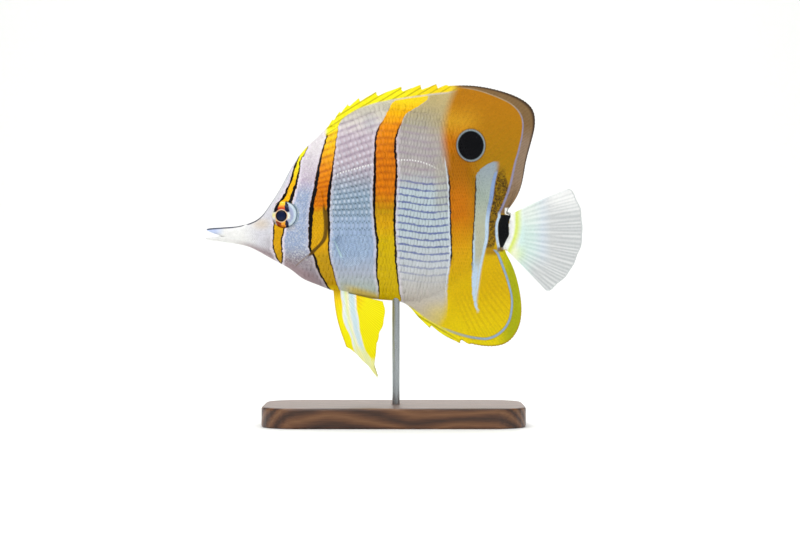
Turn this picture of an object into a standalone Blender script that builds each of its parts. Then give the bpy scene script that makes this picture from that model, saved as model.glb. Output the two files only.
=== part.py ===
"""Copperband butterflyfish, life size, swimming level on a plain display stand.

Frame: +X towards the tail, +Y to the fish's right, +Z up, with the origin under the middle of the stand.
The fish is one smooth body parted by thin cuts. Its side view is a fan of columns: column u crosses the
mid line u millimetres behind the snout tip, and runs from the belly margin (v = 0) to the back (v = 1).
"""

import math

import bmesh
import bpy
import numpy as np

MM = 0.001

# Driving sizes, in millimetres.
TOTAL_LENGTH = 151.0
AXIS_HEIGHT = 76.4
CUT = 0.3
FIN_EDGE_HALF = 0.3
FIN_ROOT_HALF = 1.1
BASE_LENGTH = 104.0
BASE_WIDTH = 58.0
BASE_THICKNESS = 8.0
BASE_CORNER_RADIUS = 14.0
ROD_RADIUS = 1.5
ROD_STATION = 76.4
ROD_SOCKET_DEPTH = 9.0
ROD_FOOT_DEPTH = 5.0

# Stations along the mid line, in millimetres behind the snout tip.
MOUTH_CORNER = 6.6
SNOUT_END = 20.5
DORSAL_ORIGIN = 48.4
FAN_START = 78.0
SPINES_END = 86.3
ANAL_SPINES_END = 94.0
STALK_START = 112.5
STALK_END = 119.8

# Side outlines as (behind the snout tip, above the snout's axis), in millimetres.
BACK_OUTLINE = (
    (6.4, 2.2), (12.0, 2.7), (18.0, 4.1), (22.0, 6.3), (25.2, 10.2), (28.4, 15.0), (32.2, 21.7),
    (36.0, 28.6), (40.8, 34.6), (48.4, 41.8), (56.0, 50.0), (66.0, 54.8), (78.0, 57.4), (92.0, 58.5),
    (106.0, 59.0), (118.0, 56.9), (126.4, 53.6), (130.9, 49.6), (132.0, 44.0), (130.9, 38.0),
    (128.2, 27.6), (126.2, 18.0), (123.4, 12.3), (119.8, 7.6),
)
BELLY_OUTLINE = (
    (6.4, -3.5), (12.0, -4.3), (18.0, -5.8), (24.0, -8.9), (30.0, -12.2), (34.6, -14.9),
    (38.6, -18.0), (44.4, -20.6), (51.2, -23.2), (60.4, -25.3), (71.6, -26.9), (80.6, -28.7),
    (84.4, -32.6), (90.0, -37.5), (97.0, -41.6), (105.0, -44.0), (114.0, -45.3), (120.4, -44.0),
    (125.0, -38.8), (126.6, -31.6), (125.6, -22.0), (122.8, -12.8), (119.6, -6.8),
)

# Half width of the flesh on the mid line, by station.
HALF_WIDTH = (
    (6.4, 1.9), (12.0, 2.2), (18.0, 2.9), (24.0, 4.7), (30.0, 6.3), (38.0, 7.9), (48.0, 9.2),
    (58.0, 9.6), (70.0, 9.1), (82.0, 7.9), (94.0, 6.1), (104.0, 4.5), (112.0, 3.2), (120.0, 2.3),
)
# How far the flesh reaches above and below the mid line where a fin stands on it, by station.
REACH_UP = ((48.4, 31.9), (60.0, 33.0), (70.0, 35.0), (78.0, 35.2), (90.0, 32.0), (99.0, 22.8),
            (105.0, 15.6), (110.0, 11.7), (115.0, 8.9), (120.0, 7.4))
REACH_DOWN = ((78.0, 42.6), (84.0, 41.0), (90.0, 36.6), (99.0, 26.4), (105.0, 18.6),
              (110.0, 12.9), (115.0, 9.2), (120.0, 7.4))
# Rear edge of the gill cover: (height share of the column, station).
GILL_LINE = ((0.0, 34.4), (0.1, 39.0), (0.2, 43.6), (0.3, 47.2), (0.4, 48.5), (0.5, 48.0),
             (0.65, 46.2), (0.8, 44.4), (1.0, 42.4))
GILL_COVER_SHARES = (0.17, 0.55)
GILL_COVER_FRONT = 38.6
GILL_COVER_SETBACK = 0.1
GILL_COVER_THICKNESS = 1.2

# Heights of the jaws' upper and lower faces at the mouth corner and at their tips, and their half widths.
UPPER_JAW_BACK = (2.15, -1.1)
UPPER_JAW_TIP = (1.85, 0.9)
LOWER_JAW_BACK = (-1.5, -3.45)
LOWER_JAW_TIP = (-1.75, -2.6)
JAW_HALF_WIDTHS = (1.9, 0.75)

# Fins and eye, in millimetres and degrees.
DORSAL_NOTCHES = (49.2, 51.4, 54.2, 57.6, 62.0, 69.0, 79.2, 86.8, 93.2, 97.6)
ANAL_NOTCHES = (81.6, 90.6, 102.8, 106.7)
SPINE_TIP = 0.86
SPINE_RISE = 2.0
SPINE_LEAN = 0.16
TAIL_ROOT = (120.6, 0.9)
TAIL_RADIUS = 30.0
TAIL_UP_DEG = 34.5
TAIL_DOWN_DEG = 57.0
TAIL_SWING_MM = 1.6
EYE_STATION = 32.1
EYE_HEIGHT = 7.2
EYE_RADIUS = 5.2
EYE_DEPTH = 3.4
EYE_INSET = 2.0
EYE_TURN_DEG = 12.0
PECTORAL_ROOT = (51.4, -1.9)
PECTORAL_LENGTH = 15.5
PECTORAL_FAN_DEG = (-70.0, 6.0)
PECTORAL_FLARE_DEG = 16.0
PECTORAL_ROOT_HALF = 1.1
PELVIC_SPLAY_DEG = 7.0
PELVIC_OFFSET = 2.1
PELVIC_ROOT = (51.4, -22.6)
PELVIC_ROOT_LENGTH = 6.0
PELVIC_INLET = 3.6
PELVIC_BOW = 1.1
# Rays of the pelvic fin from its front spine back: (share of the root, degrees, length).
PELVIC_RAYS = ((0.0, -77.0, 23.4), (0.08, -75.2, 24.2), (0.16, -71.5, 27.2), (0.23, -67.2, 32.4),
               (0.27, -65.0, 38.8), (0.31, -64.2, 33.4), (0.38, -62.0, 30.6), (0.5, -55.5, 25.4),
               (0.63, -48.6, 22.2), (0.82, -33.0, 18.6), (1.0, -14.0, 14.4))

SLOT_COLOURS = {
    "pearl_skin": (0.80, 0.80, 0.86, 0.35, 0.0),
    "banded_skin": (0.86, 0.62, 0.20, 0.35, 0.0),
    "yellow_fin": (0.93, 0.80, 0.05, 0.40, 0.0),
    "clear_fin": (0.88, 0.91, 0.93, 0.30, 0.0),
    "eye": (0.03, 0.03, 0.05, 0.08, 0.0),
    "walnut": (0.20, 0.11, 0.06, 0.45, 0.0),
    "steel": (0.70, 0.71, 0.72, 0.25, 1.0),
}


def spline(knots, values, at):
    """Natural cubic spline through values (one row each) at the knots, read at the places in at."""
    knots = np.asarray(knots, float)
    values = np.asarray(values, float).reshape(len(knots), -1)
    step = np.diff(knots)
    slope = np.diff(values, axis=0) / step[:, None]
    system = np.eye(len(knots))
    rhs = np.zeros_like(values)
    for i in range(1, len(knots) - 1):
        system[i, i - 1:i + 2] = step[i - 1], 2 * (step[i - 1] + step[i]), step[i]
        rhs[i] = 6 * (slope[i] - slope[i - 1])
    bend = np.linalg.solve(system, rhs)
    at = np.clip(np.asarray(at, float), knots[0], knots[-1])
    k = np.clip(np.searchsorted(knots, at) - 1, 0, len(step) - 1)
    a = ((knots[k + 1] - at) / step[k])[..., None]
    b = 1 - a
    h = step[k][..., None] ** 2 / 6
    return a * values[k] + b * values[k + 1] + ((a**3 - a) * bend[k] + (b**3 - b) * bend[k + 1]) * h


def table(rows, at):
    """A smooth curve through (station, value) rows, read at the stations in at."""
    knots, values = zip(*rows)
    return spline(knots, values, at)[..., 0]


def ease(t):
    """Smooth step from 0 to 1."""
    t = np.clip(t, 0, 1)
    return t * t * (3 - 2 * t)


class Outline:
    """A margin of the side view. It is read by station, and behind FAN_START by its share of arc length."""

    def __init__(self, points):
        points = np.array(points)
        chord = np.concatenate([[0], np.cumsum(np.linalg.norm(np.diff(points, axis=0), axis=1))])
        self.line = spline(chord, points, np.linspace(0, chord[-1], 1600))
        along = np.linalg.norm(np.diff(self.line, axis=0), axis=1)
        self.arc = np.concatenate([[0], np.cumsum(along)])
        self.front = int(np.argmax(self.line[:, 0] > FAN_START))

    def at(self, u):
        """Side view places of the margin on columns u."""
        u = np.asarray(u, float)
        by_station = np.interp(u, self.line[:self.front + 1, 0], self.arc[:self.front + 1])
        share = np.clip((u - FAN_START) / (STALK_END - FAN_START), 0, 1)
        start = np.interp(FAN_START, self.line[:self.front + 1, 0], self.arc[:self.front + 1])
        arc = np.where(u > FAN_START, start + share * (self.arc[-1] - start), by_station)
        return np.stack([np.interp(arc, self.arc, self.line[:, k]) for k in (0, 1)], axis=-1)

    def column(self, x):
        """The columns that meet the margin x millimetres behind the snout tip, up to its rearmost place."""
        u = np.linspace(0, STALK_END, 600)
        places = self.at(u)[:, 0]
        rearmost = int(np.argmax(places))
        return np.interp(x, places[:rearmost], u[:rearmost])


BACK = Outline(BACK_OUTLINE)
BELLY = Outline(BELLY_OUTLINE)


def mid_line(u):
    """Middle of column u: halfway up the body, easing down to the tail stalk behind FAN_START."""
    u = np.asarray(u, float)
    half = (BACK.at(np.minimum(u, FAN_START)) + BELLY.at(np.minimum(u, FAN_START))) / 2
    end = (BACK.at(STALK_END)[1] + BELLY.at(STALK_END)[1]) / 2
    share = ease((u - FAN_START) / (STALK_END - FAN_START))
    return np.stack([u, half[..., 1] + (end - half[..., 1]) * share], axis=-1)


def side_point(u, v):
    """(behind the snout tip, above the axis) at column u and share v: a parabola through belly, middle and back."""
    u, v = np.broadcast_arrays(np.asarray(u, float), np.asarray(v, float))
    v = v[..., None]
    return BELLY.at(u) * (1 - v) * (1 - 2 * v) + mid_line(u) * 4 * v * (1 - v) + BACK.at(u) * v * (2 * v - 1)


def reaches(u):
    """How far the flesh reaches up and down from the mid line on column u."""
    u = np.asarray(u, float)
    up = np.linalg.norm(BACK.at(u) - mid_line(u), axis=-1)
    down = np.linalg.norm(BELLY.at(u) - mid_line(u), axis=-1)
    up = np.where(u > DORSAL_ORIGIN, np.minimum(up, table(REACH_UP, u)), up)
    down = np.where(u > FAN_START, np.minimum(down, table(REACH_DOWN, u)), down)
    return up, down


def half_width(u, v):
    """Half thickness of the fish: a lens of flesh, joined smoothly to the thin fins above and below it."""
    u, v = np.broadcast_arrays(np.asarray(u, float), np.asarray(v, float))
    up, down = reaches(u)
    above = v >= 0.5
    distance = np.linalg.norm(side_point(u, v) - mid_line(u), axis=-1)
    margin = np.linalg.norm(np.where(above[..., None], BACK.at(u), BELLY.at(u)) - mid_line(u), axis=-1)
    reach = np.where(above, up, down)
    height = np.clip(distance / reach, 0, 1)
    trunk = ease((u - SNOUT_END) / (DORSAL_ORIGIN - SNOUT_END))
    bluntness = 0.5 + trunk * np.where(above, 0.28, 0.12)
    flesh = table(HALF_WIDTH, u) * (1 - height ** (2 + 0.5 * trunk)) ** bluntness
    starts = np.where(above, DORSAL_ORIGIN, FAN_START)
    fin_share = np.clip((distance - reach) / np.maximum(margin - reach, 1e-6), 0, 1)
    fin = (FIN_ROOT_HALF + (FIN_EDGE_HALF - FIN_ROOT_HALF) * fin_share ** 0.6) * ease((u - starts) / 5)
    return (flesh**3 + fin**3) ** (1 / 3)


def flesh_shares(u):
    """The shares v at which column u leaves the flesh, below and above."""
    v = np.linspace(0, 1, 241)
    low, high = [], []
    for station in np.atleast_1d(u):
        distance = np.linalg.norm(side_point(station, v) - mid_line(station), axis=-1)
        up, down = reaches(station)
        high.append(np.interp(up, distance[120:], v[120:]))
        low.append(np.interp(down, distance[120::-1], v[120::-1]))
    return np.array(low), np.array(high)


def world(side, across):
    """Metres in the part's frame from a side view place and a distance to the fish's right."""
    side = np.asarray(side, float)
    x = side[..., 0] - TOTAL_LENGTH / 2
    return np.stack([x, across + np.zeros_like(x), side[..., 1] + AXIS_HEIGHT], axis=-1) * MM


def material(slot):
    """The plain finish of a slot, made once."""
    found = bpy.data.materials.get(slot)
    if found:
        return found
    red, green, blue, roughness, metallic = SLOT_COLOURS[slot]
    made = bpy.data.materials.new(slot)
    made.use_nodes = True
    shader = made.node_tree.nodes["Principled BSDF"]
    shader.inputs["Base Color"].default_value = (red, green, blue, 1)
    shader.inputs["Roughness"].default_value = roughness
    shader.inputs["Metallic"].default_value = metallic
    return made


def add_object(name, mesh, slot, collection):
    """Links a named object with one material."""
    made = bpy.data.objects.new(name, mesh)
    mesh.materials.append(material(slot))
    mesh.shade_smooth()
    mesh.set_sharp_from_angle(angle=math.radians(35))
    collection.objects.link(made)
    return made


def two_sided(name, left, right, slot, collection):
    """A closed solid between two matching grids of points, walled along all four borders."""
    rows, columns = left.shape[:2]
    index = np.arange(rows * columns).reshape(rows, columns)
    far = index + rows * columns
    faces = []
    for i in range(rows - 1):
        for j in range(columns - 1):
            faces.append((index[i, j], index[i + 1, j], index[i + 1, j + 1], index[i, j + 1]))
            faces.append((far[i, j], far[i, j + 1], far[i + 1, j + 1], far[i + 1, j]))
    border = [(i, 0) for i in range(rows)] + [(rows - 1, j) for j in range(1, columns)]
    border += [(i, columns - 1) for i in range(rows - 2, -1, -1)] + [(0, j) for j in range(columns - 2, 0, -1)]
    for (i, j), (k, m) in zip(border, border[1:] + border[:1]):
        faces.append((index[k, m], index[i, j], far[i, j], far[k, m]))
    mesh = bpy.data.meshes.new(name)
    points = np.concatenate([left.reshape(-1, 3), right.reshape(-1, 3)])
    mesh.from_pydata(points.tolist(), [], [tuple(int(n) for n in face) for face in faces])
    shape = bmesh.new()
    shape.from_mesh(mesh)
    bmesh.ops.remove_doubles(shape, verts=shape.verts, dist=2e-6)
    bmesh.ops.recalc_face_normals(shape, faces=shape.faces)
    shape.to_mesh(mesh)
    shape.free()
    return add_object(name, mesh, slot, collection)


def flesh(name, stations, shares, slot, collection, grow=0.0, lift=0.0):
    """A piece of the fish's body over a grid of columns and shares; lift adds side view offsets to it."""
    width = half_width(stations, shares) + grow
    side = side_point(stations, shares)
    outwards = side - mid_line(stations)
    distance = np.linalg.norm(outwards, axis=-1, keepdims=True)
    side = side + lift + outwards * grow / (distance + 1)
    return two_sided(name, world(side, -width), world(side, width), slot, collection)


def spread(start, end, count, crowding=0.0):
    """Shares from start to end; crowding 1 draws them to both ends as a cosine does."""
    t = np.linspace(0, 1, count)
    eased = (1 - np.cos(np.pi * t)) / 2
    return start + (end - start) * (t + (eased - t) * crowding)


def gill_line(share):
    """Station of the gill cover's rear edge, which parts the head from the trunk."""
    return table(GILL_LINE, share)


def flank_width(station, height):
    """Half width of the body in front of FAN_START at a height above the axis."""
    back, belly = BACK.at(station)[1], BELLY.at(station)[1]
    return float(half_width(station, (height - belly) / (back - belly)))


def cut_away(target, cutter):
    """Takes the cutter's shape out of the target, with a modifier that stays on it."""
    cutter.hide_render = True
    cutter.display_type = "WIRE"
    cut = target.modifiers.new("cut by " + cutter.name, "BOOLEAN")
    cut.operation = "DIFFERENCE"
    cut.solver = "EXACT"
    cut.object = cutter


def jaw(name, back, tip, tip_station, collection):
    """Half of the beak. Its oval rings shrink from the mouth corner to a blunt tip; back and tip are heights."""
    along = spread(0, 1, 8, 0.6)
    mouth = MOUTH_CORNER - CUT
    station = mouth + (tip_station - mouth) * along
    closing = np.sqrt(np.clip(1 - along**6, 0, 1))
    top, low = (np.array(back)[:, None] * (1 - along) + np.array(tip)[:, None] * along)
    half_across = JAW_HALF_WIDTHS[0] + (JAW_HALF_WIDTHS[1] - JAW_HALF_WIDTHS[0]) * along
    ring = spread(-1, 1, 7, 0.9)
    height = ((top + low) / 2)[:, None] + ((top - low) / 2 * closing)[:, None] * ring
    side = np.stack(np.broadcast_arrays(station[:, None], height), axis=-1)
    width = (half_across * closing)[:, None] * np.sqrt(np.clip(1 - ring**2, 0, 1))
    return two_sided(name, world(side, -width), world(side, width), "pearl_skin", collection)


def eye_place(side_sign):
    """Centre of an eye in the part's frame."""
    across = flank_width(EYE_STATION, EYE_HEIGHT) - EYE_INSET
    return world(np.array([EYE_STATION, EYE_HEIGHT]), side_sign * across)


def eye(name, side_sign, grow, collection, segments=20):
    """A flattened eyeball that looks a little forward."""
    mesh = bpy.data.meshes.new(name)
    ball = bmesh.new()
    bmesh.ops.create_uvsphere(ball, u_segments=segments, v_segments=segments // 2, radius=1)
    ball.to_mesh(mesh)
    ball.free()
    made = add_object(name, mesh, "eye", collection)
    made.rotation_euler = (math.radians(90), 0, side_sign * math.radians(EYE_TURN_DEG))
    made.scale = [(EYE_RADIUS + grow) * MM, (EYE_RADIUS + grow) * MM, (EYE_DEPTH + grow) * MM]
    made.location = eye_place(side_sign)
    return made


def gill_cover(name, side_sign, collection, room=0.0):
    """The bony flap over the gills: a plate that follows the cheek, with rounded ends; room makes its recess."""
    end_to_end = spread(-1, 1, 9)
    low, high = GILL_COVER_SHARES
    reach = (high - low) / 2 + room / (BACK.at(GILL_COVER_FRONT)[1] - BELLY.at(GILL_COVER_FRONT)[1])
    share = (low + high) / 2 + reach * end_to_end
    rear = gill_line(share) - GILL_COVER_SETBACK
    front = GILL_COVER_FRONT + (rear - 1 - GILL_COVER_FRONT) * end_to_end**4 - room
    rear = rear + room * 4
    station = front + (rear - front) * spread(0, 1, 6)[:, None]
    shares = np.broadcast_to(share, station.shape)
    side = side_point(station, shares)
    width = half_width(station, shares)
    outer, inner = width + room * 8, width - GILL_COVER_THICKNESS - room
    return two_sided(name, world(side, side_sign * outer), world(side, side_sign * inner),
                     "banded_skin", collection)


class Spines:
    """The spines of a fin's front: the margin rises along each one and drops to a notch behind its tip."""

    def __init__(self, margin, notches, upward):
        self.margin = margin
        self.notches = notches
        self.count = len(notches) - 1
        self.upward = upward

    def columns(self):
        """Columns at each spine's foot, shoulder, tip and rear notch, and at the end of the last."""
        phases = (np.arange(self.count)[:, None] + np.array([0.0, 0.4, SPINE_TIP, 0.94])).ravel()
        stations = np.interp(np.append(phases, self.count - 0.02), np.arange(self.count + 1), self.notches)
        return self.margin.column(stations)

    def offsets(self, columns):
        """Side view offsets of the margin: it rises slowly along each spine, then drops behind its tip."""
        phase = np.interp(self.margin.at(columns)[:, 0], self.notches, np.arange(self.count + 1))
        place = phase % 1
        pitch = np.diff(self.notches)[np.clip(phase.astype(int), 0, self.count - 1)]
        rise = np.where(place < SPINE_TIP, place / SPINE_TIP, (1 - place) / (1 - SPINE_TIP))
        size = (rise - 0.45) * ease((phase + 0.3) / 1.2) * ease((self.count - phase) / 0.4)
        size = size * np.sqrt(np.minimum(pitch / 8, 1))
        return np.stack([SPINE_LEAN * pitch * np.maximum(size, 0), self.upward * SPINE_RISE * size], axis=-1)


def fin_piece(name, columns, above, slot, collection, spines=None):
    """A length of the dorsal or anal fin: from just off the flesh out to the margin."""
    low, high = flesh_shares(columns)
    up, down = reaches(columns)
    root = high + CUT / (2 * up) if above else low - CUT / (2 * down)
    margin = 1.0 if above else 0.0
    along = np.linspace(0, 1, 3 if spines else 4)
    shares = root[:, None] + (margin - root[:, None]) * along
    lift = 0.0
    if spines:
        lift = spines.offsets(columns)[:, None, :] * (along**2)[None, :, None]
    grid = np.broadcast_to(columns[:, None], shares.shape)
    return flesh(name, grid, shares, slot, collection, lift=lift)


def body_parts(collection, cutters):
    """Snout, head, gill covers, trunk and tail stalk, with their sockets."""
    share = spread(0, 1, 13, 0.85)
    snout_stations = spread(MOUTH_CORNER, SNOUT_END, 7)[:, None]
    flesh("snout", snout_stations, share[None, :], "pearl_skin", collection)

    along = spread(0, 1, 13)[:, None]
    head_share = spread(0, 1, 19, 0.75)
    front = SNOUT_END + CUT
    head_stations = front + (gill_line(head_share)[None, :] - front) * along
    head = flesh("head", head_stations, head_share[None, :], "pearl_skin", collection)
    for word, sign in (("left", -1), ("right", 1)):
        eye("eye_" + word, sign, 0, collection)
        cut_away(head, eye("socket_" + word, sign, CUT, cutters, 16))
        gill_cover("gill_cover_" + word, sign, collection)
        cut_away(head, gill_cover("gill_recess_" + word, sign, cutters, room=CUT))

    trunk_share = spread(0, 1, 19, 0.75)
    along = spread(0, 1, 24)[:, None]
    start = gill_line(trunk_share)[None, :] + CUT
    stations = start + (STALK_START - CUT - start) * along
    low = flesh_shares(stations[:, 0])[0]
    high = flesh_shares(stations[:, -1])[1]
    shares = low[:, None] + (high - low)[:, None] * trunk_share[None, :]
    trunk = flesh("trunk", stations, shares, "banded_skin", collection)
    belly_height = float(np.interp(ROD_STATION, BELLY.line[:BELLY.front, 0], BELLY.line[:BELLY.front, 1]))
    rod_top = AXIS_HEIGHT + belly_height + ROD_SOCKET_DEPTH
    socket = cylinder("rod_socket", ROD_RADIUS + CUT, AXIS_HEIGHT - 60, rod_top + CUT, "steel", cutters)
    cut_away(trunk, socket)

    stalk = spread(STALK_START, STALK_END - CUT / 2, 5)
    low, high = flesh_shares(stalk)
    stalk_share = spread(0, 1, 13, 0.8)
    flesh("tail_stalk", stalk[:, None], low[:, None] + (high - low)[:, None] * stalk_share[None, :],
          "banded_skin", collection)
    skin = flesh("trunk_with_room", stations, shares, "banded_skin", cutters, grow=CUT)
    skin.hide_render = True
    skin.display_type = "WIRE"
    return skin, rod_top


def median_fins(collection):
    """Dorsal and anal fins, each in a spiny and a soft length."""
    spines = Spines(BACK, DORSAL_NOTCHES, 1)
    fin_piece("dorsal_fin_spiny", spines.columns(), True, "yellow_fin", collection, spines)
    fin_piece("dorsal_fin_soft", spread(SPINES_END + CUT / 2, STALK_END - 1.0, 24), True,
              "banded_skin", collection)
    spines = Spines(BELLY, ANAL_NOTCHES, -1)
    fin_piece("anal_fin_spiny", spines.columns(), False, "yellow_fin", collection, spines)
    fin_piece("anal_fin_soft", spread(ANAL_SPINES_END + CUT / 2, STALK_END - 1.0, 20), False,
              "yellow_fin", collection)


def caudal_fin(collection):
    """The tail fin: curved rays from the stalk's end out to a round margin, swung a little to the left."""
    angle = np.radians(spread(-TAIL_DOWN_DEG, TAIL_UP_DEG, 17))[:, None]
    along = spread(0, 1, 7)[None, :]
    root_height = 6.9 * np.sin(angle * 90 / 55 * 0.9)
    root = np.stack([-0.3 - 0.4 * np.abs(root_height) / 7 + 0 * angle, root_height], axis=-1)
    near = root + 0.5 * TAIL_RADIUS * np.stack([np.cos(angle * 0.8), np.sin(angle * 0.8)], axis=-1)
    radius = TAIL_RADIUS + 1.0 * np.sin(angle + 0.35)
    tip = np.stack([radius * np.cos(angle), radius * np.sin(angle)], axis=-1)
    t = along[..., None]
    side = root * (1 - t) ** 2 + near * 2 * t * (1 - t) + tip * t**2 + np.array(TAIL_ROOT)
    width = np.maximum(FIN_EDGE_HALF, 2.0 * (1 - along) ** 2.2 * np.cos(angle) + 0 * along)
    sway = -TAIL_SWING_MM * along**2 + 0.35 * np.sin(angle * 3) * along
    return two_sided("caudal_fin", world(side, sway - width), world(side, sway + width),
                     "clear_fin", collection)


def pectoral_fin(name, side_sign, trunk_room, collection):
    """A rounded fan that leans out from the flank behind the gill cover."""
    angle = np.radians(spread(*PECTORAL_FAN_DEG, 9))[:, None]
    along = spread(0, 1, 5)[None, :]
    bulge = 1 - 0.2 * np.linspace(-1, 1, 9)[:, None] ** 2
    reach = PECTORAL_ROOT_HALF + (PECTORAL_LENGTH * bulge - PECTORAL_ROOT_HALF) * along
    side = np.stack([reach * np.cos(angle), reach * np.sin(angle)], axis=-1) + np.array(PECTORAL_ROOT)
    out = flank_width(*PECTORAL_ROOT) - 0.6 + reach * math.tan(math.radians(PECTORAL_FLARE_DEG))
    out = out - 0.006 * reach**2
    half = FIN_EDGE_HALF - 0.02 + 0.35 * (1 - along)
    fin = two_sided(name, world(side, side_sign * (out + half)), world(side, side_sign * (out - half)),
                    "clear_fin", collection)
    cut_away(fin, trunk_room)
    return fin


def pelvic_fin(name, side_sign, trunk_room, collection):
    """A fan under the belly: a strong front spine, a drawn out first ray, and a rounded rear lobe."""
    share = np.array([row[0] for row in PELVIC_RAYS])[:, None]
    angle = np.radians([row[1] for row in PELVIC_RAYS])[:, None]
    length = np.array([row[2] for row in PELVIC_RAYS])[:, None]
    along = np.append(0, spread(0, 1, 6))[None, :]
    inlet = np.array([PELVIC_INLET] + [0] * 6)[None, :]
    reach = length * along
    slope = np.array([PELVIC_ROOT_LENGTH, -1.4])
    root = np.array(PELVIC_ROOT) + slope * share[..., None]
    heading = np.stack([np.cos(angle), np.sin(angle)], axis=-1)
    across = np.stack([-np.sin(angle), np.cos(angle)], axis=-1)
    bow = PELVIC_BOW * np.sin(np.pi * along) * (1 - share)
    side = root + heading * reach[..., None] - across * bow[..., None]
    side = side + np.stack([0 * inlet, inlet], axis=-1)
    out = PELVIC_OFFSET + (reach - inlet) * math.tan(math.radians(PELVIC_SPLAY_DEG)) + 0.9 * share
    half = FIN_EDGE_HALF - 0.03 + 0.45 * np.exp(-share * 9) * (1 - along**2)
    fin = two_sided(name, world(side, side_sign * (out + half)), world(side, side_sign * (out - half)),
                    "yellow_fin", collection)
    cut_away(fin, trunk_room)
    return fin


def cylinder(name, radius, bottom, top, slot, collection, sides=32):
    """An upright round bar at the rod's place, with heights in millimetres."""
    mesh = bpy.data.meshes.new(name)
    shape = bmesh.new()
    bmesh.ops.create_cone(shape, cap_ends=True, segments=sides, radius1=radius * MM, radius2=radius * MM,
                          depth=(top - bottom) * MM)
    shape.to_mesh(mesh)
    shape.free()
    made = add_object(name, mesh, slot, collection)
    made.location = ((ROD_STATION - TOTAL_LENGTH / 2) * MM, 0, (bottom + top) / 2 * MM)
    return made


def stand(rod_top, collection, cutters):
    """A flat base with round corners and one rod that ends inside the belly."""
    mesh = bpy.data.meshes.new("stand_base")
    block = bmesh.new()
    bmesh.ops.create_cube(block, size=1)
    size = (BASE_LENGTH * MM, BASE_WIDTH * MM, BASE_THICKNESS * MM)
    bmesh.ops.scale(block, vec=size, verts=block.verts)
    bmesh.ops.translate(block, vec=(0, 0, BASE_THICKNESS * MM / 2), verts=block.verts)
    upright = [e for e in block.edges if abs(e.verts[0].co.z - e.verts[1].co.z) > 1e-6]
    bmesh.ops.bevel(block, geom=upright, offset=BASE_CORNER_RADIUS * MM, segments=8, profile=0.5,
                    affect="EDGES")
    block.to_mesh(mesh)
    block.free()
    base = add_object("stand_base", mesh, "walnut", collection)
    hole_floor = BASE_THICKNESS - ROD_FOOT_DEPTH
    cut_away(base, cylinder("rod_hole", ROD_RADIUS + CUT, hole_floor - CUT, BASE_THICKNESS + 4,
                            "walnut", cutters))
    bevel = base.modifiers.new("soft edges", "BEVEL")
    bevel.width = 0.8 * MM
    bevel.segments = 2
    bevel.limit_method = "ANGLE"
    bevel.angle_limit = math.radians(60)
    cylinder("stand_rod", ROD_RADIUS, hole_floor, rod_top, "steel", collection)


def main():
    for old in list(bpy.data.objects):
        bpy.data.objects.remove(old)
    fish = bpy.data.collections.new("copperband_butterflyfish")
    cutters = bpy.data.collections.new("cutters")
    for collection in (fish, cutters):
        bpy.context.scene.collection.children.link(collection)
    jaw("upper_jaw", UPPER_JAW_BACK, UPPER_JAW_TIP, 0.6, fish)
    jaw("lower_jaw", LOWER_JAW_BACK, LOWER_JAW_TIP, 0.0, fish)
    trunk_room, rod_top = body_parts(fish, cutters)
    median_fins(fish)
    caudal_fin(fish)
    for word, sign in (("left", -1), ("right", 1)):
        pectoral_fin("pectoral_fin_" + word, sign, trunk_room, fish)
        pelvic_fin("pelvic_fin_" + word, sign, trunk_room, fish)
    stand(rod_top, fish, cutters)


main()
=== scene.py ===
"""Looks of a life-size copperband butterflyfish model, held over a walnut base by a steel rod.

Side view places are millimetres behind the snout tip and above the snout's axis. Column u of the body
crosses its mid line u millimetres behind the tip, and runs from the belly (v = 0) to the back (v = 1).
"""

import logging
import math
from dataclasses import dataclass, field
from enum import Enum

import bmesh
import bpy
import numpy as np
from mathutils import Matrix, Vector


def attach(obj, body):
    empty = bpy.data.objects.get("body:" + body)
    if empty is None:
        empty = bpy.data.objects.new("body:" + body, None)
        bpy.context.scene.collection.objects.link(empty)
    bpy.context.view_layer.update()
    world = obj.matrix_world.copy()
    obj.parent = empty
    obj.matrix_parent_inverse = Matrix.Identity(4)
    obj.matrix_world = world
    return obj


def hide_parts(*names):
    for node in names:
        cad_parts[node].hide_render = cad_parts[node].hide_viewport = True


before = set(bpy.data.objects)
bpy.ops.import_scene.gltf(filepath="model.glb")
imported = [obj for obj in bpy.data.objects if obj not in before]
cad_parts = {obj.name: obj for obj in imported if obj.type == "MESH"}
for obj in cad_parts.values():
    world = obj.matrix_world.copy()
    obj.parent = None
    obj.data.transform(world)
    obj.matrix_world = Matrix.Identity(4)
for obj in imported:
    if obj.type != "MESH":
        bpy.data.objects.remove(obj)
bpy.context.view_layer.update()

Array = np.ndarray
Socket = bpy.types.NodeSocket
Rows = tuple[tuple[float, ...], ...]

LOG = logging.getLogger("fish")
MM = 0.001
MIDDLE_STATION = 75.5
AXIS_HEIGHT = 76.4
SEED = 7
COINCIDE = 2e-7


class Side(Enum):
    """A side of the fish, as the sign of its direction across the body."""

    LEFT = -1
    RIGHT = 1


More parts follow.
